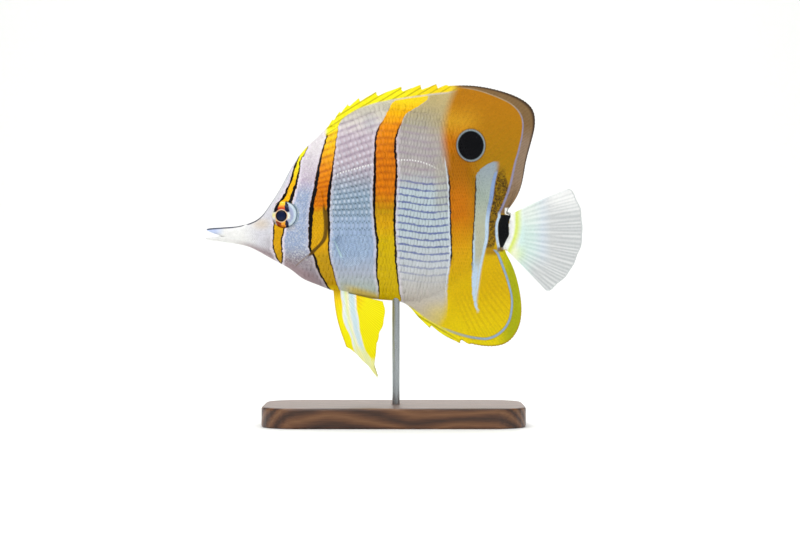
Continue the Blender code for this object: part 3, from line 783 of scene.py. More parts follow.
@dataclass
class Painter:
    """Lays colour on a surface in steps, each a mask worked out from lines drawn in millimetres."""

    tree: bpy.types.NodeTree

    def rescale(self, value: Socket, given: tuple, wanted: tuple, smooth: bool = False) -> Socket:
        """Carries a number from one range to another, straight or by a smooth step.

        Args:
            value: Number to carry.
            given: Range that it comes in.
            wanted: Range that it is carried to.
            smooth: Whether by a smooth step.

        Returns:
            The carried number.
        """
        feeds = {0: value, 1: given[0], 2: given[1], 3: wanted[0], 4: wanted[1]}
        kind = "SMOOTHSTEP" if smooth else "LINEAR"
        return add_node(self.tree, "ShaderNodeMapRange", feeds, interpolation_type=kind).outputs[0]

    def span(self, share: Socket, low: float, high: float) -> Socket:
        """A share from 0 to 1 carried to run from low to high."""
        return self.rescale(share, SHARES, (low, high))

    def sum(self, a: Socket | float, b: Socket | float, factor: float = 1.0) -> Socket:
        """a and factor times b, added."""
        return add_node(self.tree, "ShaderNodeMath", {0: b, 1: factor, 2: a},
                        operation="MULTIPLY_ADD").outputs[0]

    def both(self, *masks: Socket) -> Socket:
        """Where every mask is: their product.

        Args:
            masks: The masks.

        Returns:
            The product.
        """
        result = masks[0]
        for mask in masks[1:]:
            result = add_node(self.tree, "ShaderNodeMath", {0: result, 1: mask},
                              operation="MULTIPLY").outputs[0]
        return result

    def zigzag(self, value: Socket, half: float) -> Socket:
        """A number folded to run from 0 up to half and down again."""
        return add_node(self.tree, "ShaderNodeMath", {0: value, 1: half}, operation="PINGPONG").outputs[0]

    def fraction(self, value: Socket) -> Socket:
        """What a number has over the whole number under it."""
        return add_node(self.tree, "ShaderNodeMath", {0: value}, operation="FRACT").outputs[0]

    def line(self, feed: Socket, points: Rows, given: tuple = HEIGHTS, wanted: tuple = STATIONS) -> Socket:
        """A smooth line through (place, value) points, read at feed.

        Args:
            feed: Number that the line is read at.
            points: (place, value) points.
            given: Range that it comes in.
            wanted: Range that it is carried to.

        Returns:
            The line's value.
        """
        node = add_node(self.tree, "ShaderNodeFloatCurve", {1: self.rescale(feed, given, SHARES)})
        curve = node.mapping.curves[0]
        node.mapping.use_clip = False
        node.mapping.extend = "HORIZONTAL"
        places = [((p - given[0]) / (given[1] - given[0]), (q - wanted[0]) / (wanted[1] - wanted[0]))
                  for p, q in sorted(points)]
        curve.points[0].location = places[0]
        curve.points[1].location = places[-1]
        for place in places[1:-1]:
            curve.points.new(*place)
        for point in curve.points:
            point.handle_type = "AUTO"
        node.mapping.update()
        return self.rescale(node.outputs[0], SHARES, wanted)

    def beyond(self, value: Socket, limit: Socket | float, blur: float = 0.15) -> Socket:
        """1 where value is over limit and 0 where it is under, with a soft step of twice blur."""
        return self.rescale(self.sum(value, limit, -1.0), (-blur, blur), SHARES, True)

    def under(self, value: Socket, limit: Socket | float, blur: float = 0.15) -> Socket:
        """1 where value is under limit."""
        return self.rescale(self.sum(value, limit, -1.0), (-blur, blur), (1.0, 0.0), True)

    def stripe(self, value: Socket, centre: Socket | float, half: Socket | float,
               blur: float = 0.15) -> Socket:
        """1 within half of centre."""
        off = add_node(self.tree, "ShaderNodeMath", {0: self.sum(value, centre, -1.0)},
                       operation="ABSOLUTE").outputs[0]
        return self.under(off, half, blur)

    def spot(self, x: Socket, z: Socket, centre: tuple, radii: tuple = (1.0, 1.0)) -> Socket:
        """Distance from a spot's centre, 1 on an ellipse of the given radii.

        Args:
            x: First coordinate.
            z: Second coordinate.
            centre: Its centre.
            radii: Its radii.

        Returns:
            The distance.
        """
        offsets = {}
        for axis, value in enumerate((x, z)):
            offsets[axis] = self.rescale(value, (centre[axis], centre[axis] + radii[axis]), SHARES)
            offsets[axis].node.clamp = False
        both = add_node(self.tree, "ShaderNodeCombineXYZ", offsets).outputs[0]
        return add_node(self.tree, "ShaderNodeVectorMath", {0: both}, operation="LENGTH").outputs[1]

    def ramp(self, feed: Socket, stops: dict[float, Pigment], given: tuple = HEIGHTS) -> Socket:
        """A run of colours, each at its own place.

        Args:
            feed: Number that picks the colour.
            stops: Colours by place.
            given: Range that it comes in.

        Returns:
            The colour.
        """
        node = add_node(self.tree, "ShaderNodeValToRGB", {0: self.rescale(feed, given, SHARES)})
        elements = node.color_ramp.elements
        places = [((p - given[0]) / (given[1] - given[0]), linear(stops[p])) for p in sorted(stops)]
        elements[0].position, elements[0].color = places[0]
        elements[1].position, elements[1].color = places[-1]
        for position, colour in places[1:-1]:
            elements.new(position).color = colour
        return node.outputs[0]

    def lay(self, under: Socket | Pigment, over: Socket | Pigment, mask: Socket | float,
            strength: float = 1.0, mode: str = "MIX") -> Socket:
        """Lays one colour over another where the mask is, no stronger than strength.

        Args:
            under: Colour below.
            over: Colour on top.
            mask: Where, from 0 to 1.
            strength: Most that it covers.
            mode: Blender's name for the way of mixing.

        Returns:
            The mixed colour.
        """
        if strength < 1:
            mask = self.span(mask, 0, strength)
        feeds = {0: mask, 6: under, 7: over}
        return add_node(self.tree, "ShaderNodeMix", feeds, data_type="RGBA", blend_type=mode).outputs[2]

    def shade(self, colour: Socket, tone: Socket, strength: float = 1.0) -> Socket:
        """A colour made darker or lighter by a tone about 1."""
        grey = add_node(self.tree, "ShaderNodeCombineColor", {0: tone, 1: tone, 2: tone}).outputs[0]
        return self.lay(colour, grey, strength, mode="MULTIPLY")

    def noise(self, size_mm: float, detail: float = 2.0, stretch: tuple = (1, 1, 1)) -> Socket:
        """Cloudy noise from 0 to 1 with lumps of a size in millimetres, stretched along the axes.

        Args:
            size_mm: Size of the lumps.
            detail: Layers of finer lumps.
            stretch: Scale along each axis.

        Returns:
            The noise.
        """
        feed = add_node(self.tree, "ShaderNodeTexCoord").outputs["Object"]
        scale = tuple(s / (size_mm * MM) for s in stretch)
        place = add_node(self.tree, "ShaderNodeMapping", {0: feed, 3: scale}).outputs[0]
        return add_node(self.tree, "ShaderNodeTexNoise", {0: place, "Scale": 1.0,
                                                          "Detail": detail}).outputs[0]

    def attribute(self, name: str) -> Socket:
        """A number stored on the mesh."""
        return add_node(self.tree, "ShaderNodeAttribute", attribute_name=name).outputs["Fac"]


class SidePainter(Painter):
    """A painter that knows each place's station x and height z in the side view."""

    def __init__(self, tree: bpy.types.NodeTree) -> None:
        """Works both out, in fish millimetres, from the Object coordinates.

        Args:
            tree: Node tree to paint in.
        """
        super().__init__(tree)
        feed = add_node(tree, "ShaderNodeTexCoord").outputs["Object"]
        parts = add_node(tree, "ShaderNodeSeparateXYZ", {0: feed}).outputs
        self.x = self.sum(MIDDLE_STATION, parts[0], 1 / MM)
        self.z = self.sum(-AXIS_HEIGHT, parts[2], 1 / MM)

    def station(self, points: Rows) -> Socket:
        """Station of a line through (height, station) points."""
        return self.line(self.z, points)

    def height(self, points: Rows) -> Socket:
        """Height of a line through (station, height) points."""
        return self.line(self.x, points, STATIONS, HEIGHTS)

    def breadth(self, points: Rows) -> Socket:
        """Width of a line through (height, width) points."""
        return self.line(self.z, points, HEIGHTS, WIDTHS)

    def zone(self, *masks: Socket, x: tuple = OPEN, z: tuple = OPEN) -> Socket:
        """Where a place is between two stations and two heights, and every mask is.

        Args:
            masks: Masks that must hold too.
            x: Front and rear edge, each a station and its blur, or None.
            z: Lower and upper edge in the same way.

        Returns:
            The product of all masks.
        """
        parts = list(masks)
        for value, (low, high) in ((self.x, x), (self.z, z)):
            if low:
                parts.append(self.beyond(value, *low))
            if high:
                parts.append(self.under(value, *high))
        return self.both(*parts)


@dataclass(frozen=True)
class Band:
    """A band across the body: its outer edges, its colours by height and its black edge lines' widths."""

    left: Rows
    right: Rows
    colours: dict[float, Pigment]
    left_line: Rows
    right_line: Rows
    fringe: float = 0.45
    fade: float = 60.0


EYE_BAND = Band(
    left=((-12.2, 30.0), (-9.2, 28.4), (-6.8, 27.5), (-2.8, 27.4), (1.2, 27.6), (9.4, 27.9), (11.2, 28.4),
          (12.2, 29.3), (13.6, 30.8), (15.2, 31.7), (17.2, 32.7), (19.2, 33.6), (21.2, 34.4), (25.2, 35.3),
          (27.2, 36.0), (29.2, 36.8), (31.2, 37.8), (34.4, 39.6)),
    right=((-12.2, 30.8), (-9.2, 31.3), (-6.8, 31.2), (-2.8, 31.2), (1.2, 32.2), (12, 35.0), (13.2, 35.6),
           (15.2, 36.2), (17.2, 36.6), (19.2, 37.2), (21.2, 37.6), (25.2, 38.2), (29.2, 38.7), (31.2, 39.9),
           (34.6, 41.4)),
    colours={-12: Pigment.OCHRE, -4: Pigment.GOLD, 2: Pigment.GOLD, 14: Pigment.AMBER, 20: Pigment.AMBER,
             26: Pigment.LEMON, 32: Pigment.SPINE_YELLOW},
    left_line=((-12, 0.5), (0, 0.5), (9, 0.6), (11.5, 0.6), (14, 1.3), (16, 1.0), (19, 0.8), (25, 0.85),
               (29, 0.6), (32, 0.2), (36, 0.05)),
    right_line=((-12, 0.4), (0, 0.6), (9, 0.7), (13, 1.5), (17, 1.3), (20, 1.0), (23, 0.8), (27, 0.5),
                (31, 0.35), (36, 0.3)),
    fringe=0.85,
)
SHOULDER_BAND = Band(
    left=((41.2, 49.2), (36.8, 48.1), (30.8, 46.3), (26.4, 45.4), (20.8, 44.3), (13.2, 42.8), (9.2, 42.1),
          (5.2, 41.8), (-2.8, 41.7), (-7.2, 42.1), (-9.2, 43.4), (-13.6, 44.6), (-18, 46.8), (-22.4, 49.4)),
    right=((41.2, 53.3), (33.6, 52.4), (27.6, 51.8), (23.2, 51.3), (17.2, 50.7), (11.6, 50.3), (6.8, 50.2),
           (2.8, 50.4), (-6, 50.0), (-9.2, 50.2), (-12, 50.6), (-15.6, 51.8), (-19.2, 52.6), (-22.4, 53.6)),
    colours={-22: Pigment.ANAL_YELLOW, -19: Pigment.OCHRE, -8: Pigment.OCHRE, -4: Pigment.GOLD,
             9.5: Pigment.GOLD, 12: Pigment.RUST, 20: Pigment.RUST, 27: Pigment.ORANGE, 35: Pigment.AMBER,
             42: Pigment.LEMON},
    left_line=((-22, 0.8), (-6, 1.1), (0, 1.5), (10, 1.6), (20, 1.4), (30, 0.8), (40, 0.5)),
    right_line=((-22, 0.15), (-12, 0.4), (-4, 0.6), (4, 1.2), (17, 1.2), (24, 0.7), (30, 0.4), (40, 0.15)),
    fringe=0.3,
)
FLANK_BAND = Band(
    left=((53.6, 76.8), (51.2, 74.4), (46.4, 72.0), (41.6, 69.2), (38.4, 68.1), (35.2, 67.8), (30, 67.6),
          (23.2, 67.5), (17.2, 67.3), (12.8, 67.2), (7.2, 67.4), (2, 67.8), (-4.8, 68.6), (-9.2, 68.5),
          (-16.4, 68.5), (-22.8, 69.4), (-27, 69.4)),
    right=((53.6, 89.4), (50.8, 85.6), (48.2, 81.2), (46.8, 79.8), (44, 78.7), (39.2, 77.0), (35.2, 76.4),
           (25.2, 77.0), (17.2, 76.7), (7.2, 76.2), (-3.2, 76.4), (-12, 76.8), (-20.8, 77.6), (-27, 78.4)),
    colours={-27: Pigment.BAND_YELLOW, -2: Pigment.BAND_YELLOW, 5: Pigment.GOLD, 10: Pigment.OCHRE,
             18: Pigment.RUST, 34: Pigment.RUST, 44: Pigment.ORANGE, 50: Pigment.AMBER, 54: Pigment.LEMON},
    left_line=((-27, 0.2), (-20, 0.6), (-5, 0.9), (10, 1.05), (25, 1.0), (40, 0.7), (48, 0.3)),
    right_line=((-27, 0.1), (-20, 0.45), (-5, 0.75), (10, 0.85), (25, 0.8), (40, 0.6), (48, 0.2)), fade=43.5,
)


class MarkingPaint(SidePainter):
    """The fish's markings, painted alike on skin, scales and tail, from places in millimetres."""

    tail_line: Rows = ((29.2, 96.3), (21.2, 97.5), (13.2, 97.8), (5.2, 98.0), (-2.8, 98.3), (-8, 98.4),
                       (-11.6, 98.2), (-18.8, 97.2), (-24, 97.0), (-40, 97.0))
    wedge_left: Rows = ((29.2, 116.8), (28, 114.0), (25.2, 110.0), (23.6, 108.8), (17.2, 108.2), (7.2, 107.7),
                        (-2.8, 107.0), (-10.8, 106.9), (-26.8, 107.4), (-31.0, 108.6))
    wedge_right: Rows = ((29.2, 116.8), (26, 116.9), (23.6, 116.2), (20, 115.3), (13.2, 114.3), (9.2, 113.4),
                         (5.2, 112.8), (-2.8, 112.4), (-6.8, 111.5), (-14.8, 109.9), (-20, 109.2),
                         (-26.8, 108.4), (-31.0, 108.2))
    dorsal_line: Rows = ((96, 58.2), (102, 58.2), (108, 57.4), (114, 55.6), (118, 54), (122, 52),
                         (124.8, 49.6), (126.4, 47.2), (127.2, 44), (127, 40), (125.6, 33.2), (123.8, 26.4),
                         (122.4, 20), (120.6, 14.4), (118.4, 9.2), (117.6, 7.6))
    anal_line: Rows = ((117.2, -8.4), (118, -10.4), (119.2, -13.6), (120.4, -16.8), (121.6, -20.8),
                       (122.4, -24), (122.8, -27.6), (122.6, -30.8), (121.2, -36), (118.4, -39.6), (114, -42),
                       (108.4, -42), (103.2, -40.9), (98, -39.2), (94, -37.6), (89, -34.6))
    dorsal_centre: tuple[float, float] = (104.0, 22.0)
    anal_centre: tuple[float, float] = (104.0, -18.0)
    eye_spot: tuple[float, float] = (106.3, 35.0)
    eye_spot_radii: tuple[float, float] = (4.9, 5.5)

    def __init__(self) -> None:
        """Builds the node group, from the ground colours up to the finest lines."""
        group = bpy.data.node_groups.new("fish markings", "ShaderNodeTree")
        group.interface.new_socket("Colour", in_out="OUTPUT", socket_type="NodeSocketColor")
        super().__init__(group)
        wander = self.rescale(self.noise(1.6, 1.0), (0.25, 0.75), (-0.2, 0.2))
        self.wavy = self.sum(self.sum(self.x, wander), self.attribute("jag"), 0.14)
        self.row, self.outer, self.ray = (self.attribute(name) for name in ("row", "outer", "ray"))
        colour = self.head_tints(self.scale_rows(self.ground()))
        for band in (EYE_BAND, SHOULDER_BAND, FLANK_BAND):
            colour = self.band(colour, band)
        for layer in (self.rear, self.wedge, self.spiny_margins, self.dorsal_margin, self.anal_margin,
                      self.stalk, self.gill_edge, self.grain):
            colour = layer(colour)
        add_node(group, "NodeGroupOutput", {0: colour}).is_active_output = True

    def ground(self) -> Socket:
        """Pearl, lilac and blue grounds, each a run of colours by height between two bands.

        Returns:
            The ground colour.
        """
        x, z = self.x, self.z
        snout = self.ramp(x, {0: Pigment.BEAK_BLUE, 4: Pigment.BEAK_BLUE, 8: Pigment.PEARL, 15: Pigment.PEARL,
                              22: Pigment.FOREHEAD, 32: Pigment.FOREHEAD, 37: Pigment.FOREHEAD_BLUE},
                          STATIONS)
        snout = self.lay(snout, Pigment.PEARL, self.zone(x=(None, (12, 4)), z=(None, (-0.6, 0.8))))
        nape = self.ramp(z, {-18: Pigment.THROAT, -11: Pigment.THROAT, -5: Pigment.CHEEK_BLUE,
                             15: Pigment.CHEEK_BLUE, 21: Pigment.NAPE_LILAC, 33: Pigment.NAPE_PALE})
        flank = self.ramp(z, {-23: Pigment.SAGE, -16: Pigment.FLANK_MIST, -8: Pigment.FLANK_BLUE,
                              3: Pigment.FLANK_BLUE, 9: Pigment.FLANK_SLATE, 15: Pigment.FLANK_SLATE,
                              21: Pigment.FLANK_GREY, 28: Pigment.FLANK_ROSE, 38: Pigment.FLANK_ROSE,
                              43: Pigment.FLANK_PALE, 52: Pigment.FLANK_CREAM})
        rear = self.ramp(z, {-40: Pigment.KHAKI_WARM, -28: Pigment.BEIGE, -14: Pigment.MIST_PALE,
                             2: Pigment.MIST, 17: Pigment.MIST, 25: Pigment.TAUPE, 38: Pigment.TAUPE,
                             44: Pigment.KHAKI, 53: Pigment.KHAKI_WARM})
        shade = self.both(self.stripe(x, 66.0, 2.5, 2.0), self.stripe(z, 44, 3, 3))
        flank = self.lay(flank, Pigment.FLANK_GREY, shade, 0.45)
        colour = self.lay(snout, nape, self.beyond(x, self.station(EYE_BAND.right), 0.8))
        colour = self.lay(colour, flank, self.beyond(x, self.station(SHOULDER_BAND.right), 1.0))
        return self.lay(colour, rear, self.beyond(x, self.station(FLANK_BAND.right), 1.0))

    def scale_rows(self, colour: Socket) -> Socket:
        """Painted shade where rows of scales meet, in dashes in front, and painted highlights as light beads
        on the scales.

        Args:
            colour: Colour so far.

        Returns:
            The colour with this over it.
        """
        x, z, tip, rim = self.x, self.z, self.attribute("tip"), self.attribute("rim")
        row = self.sum(self.sum(self.row, self.attribute("jag"), 0.04), self.noise(2.2, 1.0), 0.18)
        place = self.fraction(self.sum(row, -0.09))
        patchy = self.rescale(self.noise(3.0), (0.35, 0.65), SHARES)
        front, rear = self.zone(x=((49.5, 1.2), (70, 1))), self.zone(x=((76, 1), (98, 1)))
        # Painted shadow: dark teal dashes where rows of the front scales meet.
        row_shadow_dash = self.zone(self.stripe(place, 0.5, 0.17, 0.14),
                         self.span(self.stripe(tip, 0.55, 0.25, 0.14), 0.1, 1.0),
                         front, self.span(patchy, 0.7, 1.0), z=((-2, 4), (29, 6)))
        colour = self.lay(colour, Pigment.ROW_SHADOW_TEAL, row_shadow_dash)
        # Painted highlight: a light bead on each front scale's centre.
        painted_highlight = self.zone(self.stripe(tip, 0.72, 0.1, 0.2), self.under(rim, 0.14, 0.22), front,
                         self.span(patchy, 1.0, 0.35), z=((4, 5), (37, 10)))
        colour = self.lay(colour, Pigment.BEAD_HIGHLIGHT_AND_STRIPE, painted_highlight)
        # Painted shade: soft rose lines where the upper front rows of scales meet.
        broad = self.stripe(place, 0.5, 0.2, 0.22)
        faint_row_shade = self.zone(broad, front, self.span(patchy, 0.5, 0.95), z=((24, 6), (46, 6)))
        colour = self.lay(colour, Pigment.ROW_SHADE_ROSE, faint_row_shade)
        # Painted shade: thin blue grey lines where the rear rows of scales meet.
        near = self.stripe(place, 0.5, self.rescale(self.noise(1.2), (0.35, 0.65), (0.08, 0.18)), 0.1)
        whole = self.zone(near, rear, self.span(self.beyond(z, -12, 8), 0.35, 0.88), z=((-19, 3), (21.5, 2)))
        colour = self.lay(colour, Pigment.ROW_SHADE_BLUE, whole)
        # Painted shade: dark seams at the rear tips of the rear scales.
        notch = self.both(self.stripe(tip, 0.95, 0.1, 0.06), rear, self.stripe(z, 7, 14, 5))
        colour = self.lay(colour, Pigment.ROW_SHADE_DARK, self.both(notch, self.span(patchy, 0.0, 0.3)))
        # Painted shade: rose lines where the upper rear rows of scales meet.
        above = self.zone(broad, rear, self.span(patchy, 0.2, 0.7), z=((19, 3), (46, 6)))
        colour = self.lay(colour, Pigment.ROW_SHADE_ROSE, above)
        # Painted highlight: pale centres on the upper rear scales.
        pale = self.zone(rear, self.stripe(tip, 0.6, 0.2, 0.2), self.under(rim, 0.3, 0.2),
                         self.span(patchy, 0.5, 0), z=((20, 5), (46, 6)))
        colour = self.lay(colour, Pigment.FLANK_PALE, pale)
        pores = self.rescale(self.zigzag(x, 0.55), (0.15, 0.4), SHARES)
        along = self.stripe(z, self.height(FishForm.lateral_line), 0.34, 0.2)
        return self.lay(colour, Pigment.WHITE, self.zone(along, pores, x=((52, 1), (93, 3))), 0.8)

    def head_tints(self, colour: Socket) -> Socket:
        """Tan cheek; painted shade under the jaw, low on the cheek, on the orbit's rear rim and below the
        eye; thin dark snout ridge line.

        Args:
            colour: Colour so far.

        Returns:
            The colour with this over it.
        """
        x, z = self.x, self.z
        tan = self.under(self.spot(x, z, (22.6, 3.6), (5.0, 3.2)), 0.6, 0.55)
        colour = self.lay(colour, Pigment.TAN, tan, 0.5)
        # Painted shade: rosy grey along the underside of the head, taller towards the throat.
        floor = self.height(((8, -3.8), (16, -4.6), (24, -8.0), (30, -11.2), (38.6, -17), (50, -22)))
        deep = self.line(x, ((8, 0.1), (18, 0.6), (24, 1.6), (30, 2.6), (42, 3.0)), STATIONS, WIDTHS)
        chin_shade = self.zone(x=((14, 6), (46, 5)), z=(None, (self.sum(floor, deep), 1.6)))
        colour = self.lay(colour, Pigment.CHIN_SHADE, chin_shade, 0.9)
        # Painted shade: a darker pink grey patch low on the cheek.
        jowl_shade = self.under(self.spot(x, z, (27.5, -4.5), (5.5, 5.5)), 0.6, 0.5)
        colour = self.lay(colour, Pigment.THROAT, jowl_shade, 0.42)
        # Painted shade: a thin dark grey green line round the orbit's rear rim.
        rim = self.zone(self.stripe(self.spot(x, z, FishForm.eye_centre), 5.65, 0.2, 0.2),
                        x=((33, 1.5), None))
        colour = self.lay(colour, Pigment.EYE_RIM_SHADE, rim, 0.8)
        shadow = self.zone(self.under(self.spot(x, z, (34.0, 2.2), (3.4, 1.9)), 0.8, 0.4), z=(None, (5, 1)))
        colour = self.lay(colour, Pigment.THROAT, shadow, 0.5)
        speck = self.zone(self.rescale(self.noise(0.7, 3.0), (0.46, 0.72), (0, 0.5)), x=((28, 8), (52, 2)),
                          z=((-12, 4), None))
        colour = self.lay(colour, Pigment.WHITE, speck)
        ridge = self.height(((0, 1.9), (6.4, 2.2), (12, 2.7), (18, 4.1), (22, 6.3), (25.2, 10.2), (28.4, 15),
                            (32.2, 21.7), (36, 28.6)))
        depth = self.line(x, ((0, 0.75), (6, 0.6), (15, 0.6), (16.2, 0.15), (17.4, 0.7), (23, 0.75),
                              (27, 0.6), (37, 0.5)), STATIONS, WIDTHS)
        top = self.zone(self.beyond(self.sum(z, depth), ridge, 0.22), self.rescale(x, (23, 29), (0.95, 0.6)),
                        x=(None, (37, 4)))
        return self.lay(colour, Pigment.NAVY, top)

    def band(self, colour: Socket, band: Band) -> Socket:
        """One band: pale fringe, colours by height with painted shade along slanting scale rows, then black
        lines along both edges.

        Args:
            colour: Colour so far.
            band: The band.

        Returns:
            The colour with this over it.
        """
        x, z = self.wavy, self.z
        left, right = self.station(band.left), self.station(band.right)
        fringe = self.both(self.beyond(x, self.sum(left, -1.0), 0.5),
                           self.under(x, self.sum(right, 1.0), 0.5), self.under(z, band.fade - 3, 3))
        colour = self.lay(colour, Pigment.FRINGE, fringe, band.fringe)
        tone = self.ramp(self.sum(z, self.noise(5.0), 3.0), band.colours)
        # Painted shade: dark orange lines where the scale rows meet inside the band.
        band_row_shade = self.zone(self.stripe(self.fraction(self.row), 0.5, 0.2, 0.26), self.beyond(x, 41, 2),
                           self.rescale(self.noise(2.4), (0.35, 0.6), (0.35, 1.0)), z=((9, 7), (46, 8)))
        tone = self.lay(tone, Pigment.ROW_SHADE_RUST, band_row_shade, 0.62)
        colour = self.lay(colour, tone, self.both(self.beyond(x, left), self.under(x, right)))
        faded = self.under(z, band.fade, 3)
        left_end = self.sum(left, self.breadth(band.left_line))
        right_end = self.sum(right, self.breadth(band.right_line), -1.0)
        left_line = self.both(self.beyond(x, left), self.under(x, left_end), faded)
        right_line = self.both(self.beyond(x, right_end), self.under(x, right), faded)
        return self.lay(self.lay(colour, Pigment.BLACK, left_line), Pigment.BLACK, right_line)

    def rear(self, colour: Socket) -> Socket:
        """Everything behind the fourth band's front edge: copper, yellow, dark front lines and the eye spot.

        Args:
            colour: Colour so far.

        Returns:
            The colour with this over it.
        """
        x, z, wavy = self.x, self.z, self.wavy
        edge = self.station(self.tail_line)
        high = self.station(((20, 97.5), (31, 95.8), (38, 95.2), (45, 95.8), (51, 97.4), (56, 99.5)))
        upper = self.beyond(z, 27, 3)
        start = self.lay(edge, high, upper)
        clouded = self.sum(z, self.noise(6.0), 3.0)
        tone = self.ramp(clouded, {-44: Pigment.ANAL_YELLOW, -26: Pigment.ANAL_YELLOW, -17: Pigment.ANAL_GOLD,
                                   -6: Pigment.GOLD, 8: Pigment.BAND_COPPER, 16: Pigment.BAND_COPPER,
                                   24: Pigment.COPPER_DEEP, 32: Pigment.COPPER_DEEP, 38: Pigment.BAND_COPPER,
                                   46: Pigment.GOLD_BROWN, 54: Pigment.COPPER})
        behind = self.ramp(clouded, {-44: Pigment.ANAL_YELLOW, -20: Pigment.ANAL_GOLD, -8: Pigment.ANAL_GOLD,
                                     6: Pigment.MUSTARD, 22: Pigment.MUSTARD, 32: Pigment.COPPER_DARK,
                                     56: Pigment.COPPER})
        tone = self.lay(tone, behind, self.beyond(x, 108, 6))
        dusty = self.zone(x=((91, 5), None), z=((38, 8), None))
        colour = self.lay(colour, Pigment.KHAKI_WARM, dusty, 0.6)
        dusky = self.both(self.beyond(x, 92, 2), self.stripe(z, 20, 11, 6))
        colour = self.lay(colour, Pigment.KHAKI, dusky, 0.45)
        belly = self.zone(self.under(self.sum(z, x, 0.3), -3.6, 1.4), x=((57, 4), (70, 2)))
        colour = self.lay(colour, Pigment.BAND_YELLOW, belly, 0.75)
        soft = self.lay(self.beyond(wavy, start, 0.3), self.beyond(x, start, 2.4), upper)
        colour = self.lay(colour, tone, soft)
        cream = self.zone(x=((89, 5), None), z=(None, (-29, 4)))
        colour = self.lay(colour, Pigment.ANAL_YELLOW, cream, 0.42)
        foot = self.station(((-22.8, 97.2), (-28, 96.8), (-32, 96), (-36, 94), (-42, 89)))
        anal = self.zone(x=((foot, 2.2), None), z=(None, (-21, 4)))
        colour = self.lay(colour, self.ramp(z, {-44: Pigment.ANAL_YELLOW, -22: Pigment.ANAL_GOLD}), anal)
        drawn = self.zone(self.rescale(self.ray, (0.3, 0.8), (0, 0.28)), self.beyond(self.outer, 0.15, 0.3),
                          x=((99, 4), None))
        colour = self.lay(colour, self.lay(Pigment.OCHRE, Pigment.COPPER, self.beyond(z, 0, 10)), drawn)
        white = self.zone(self.stripe(wavy, self.sum(edge, -0.6), 0.2, 0.2), z=((-25, 5), (29, 2)))
        colour = self.lay(colour, Pigment.BEAD_HIGHLIGHT_AND_STRIPE, white, 0.9)
        black = self.zone(self.stripe(wavy, self.sum(edge, 0.1), 0.3, 0.18), z=((-12, 3), (24, 5)))
        colour = self.lay(colour, Pigment.BLACK, black)
        spot = self.spot(x, z, self.eye_spot, self.eye_spot_radii)
        colour = self.lay(colour, Pigment.SOOT, self.under(spot, 1.22, 0.12), 0.9)
        colour = self.lay(colour, Pigment.RING_GREY, self.under(spot, 1.17, 0.06))
        return self.lay(colour, Pigment.BLACK, self.under(spot, 1.06, 0.06))

    def wedge(self, colour: Socket) -> Socket:
        """The grey wedge behind the fourth band, its blue border, and the mottled brown beside the stalk.

        Args:
            colour: Colour so far.

        Returns:
            The colour with this over it.
        """
        x, z, wavy = self.x, self.z, self.wavy
        mottled_end = self.station(((23, 120.2), (9.2, 120), (7.2, 117.6), (1.2, 116.6), (-2.8, 116.2),
                                   (-8, 114.6)))
        mottled = self.zone(x=((111.5, 0.5), (mottled_end, 0.4)), z=((-6.2, 1.0), (25, 3)))
        speck = self.rescale(self.noise(0.9, 2.0, (1, 1, 0.7)), (0.44, 0.54), SHARES)
        earth = self.lay(Pigment.UMBER, Pigment.MUSTARD, speck, 0.55)
        dark = self.rescale(self.noise(0.7, 2.0), (0.52, 0.58), SHARES)
        earth = self.lay(earth, Pigment.SOOT, dark, 0.85)
        colour = self.lay(colour, earth, mottled, 0.92)
        burnt = self.both(self.stripe(x, 114.4, 2.2, 0.8), self.stripe(z, -7.5, 1.2, 1.0))
        colour = self.lay(colour, Pigment.COPPER_DARK, burnt, 0.85)
        left, right = self.station(self.wedge_left), self.station(self.wedge_right)
        behind = self.lay(self.under(x, right, 1.3), self.under(x, right, 0.4), self.stripe(z, 7, 14, 4))
        body = self.zone(self.beyond(wavy, left, 0.3), behind, z=((-31, 1.5), (28.5, 0.5)))
        tone = self.ramp(z, {-31: Pigment.ICE, -16: Pigment.ICE, -9: Pigment.WEDGE_LOW, 2: Pigment.WEDGE_LOW,
                             14: Pigment.WEDGE, 27: Pigment.WEDGE_TOP})
        colour = self.lay(colour, tone, body)
        front = self.zone(self.stripe(wavy, self.sum(left, 0.5), 0.5, 0.3), z=((-31, 1.5), (-2, 6)))
        colour = self.lay(colour, Pigment.ICE, front)
        breadth = self.breadth(((-25, 0.2), (-6, 0.6), (8, 0.75), (20, 0.7), (28, 0.3)))
        border = self.zone(self.stripe(x, right, breadth, 0.3), z=((-26, 4), (24.5, 1)))
        colour = self.lay(colour, self.lay(Pigment.PERIWINKLE, Pigment.ICE, self.under(z, 8, 5)), border)
        thin = self.zone(self.stripe(wavy, left, 0.26, 0.16), z=((-13, 4), (22, 2)))
        return self.lay(colour, Pigment.SOOT, thin, 0.9)

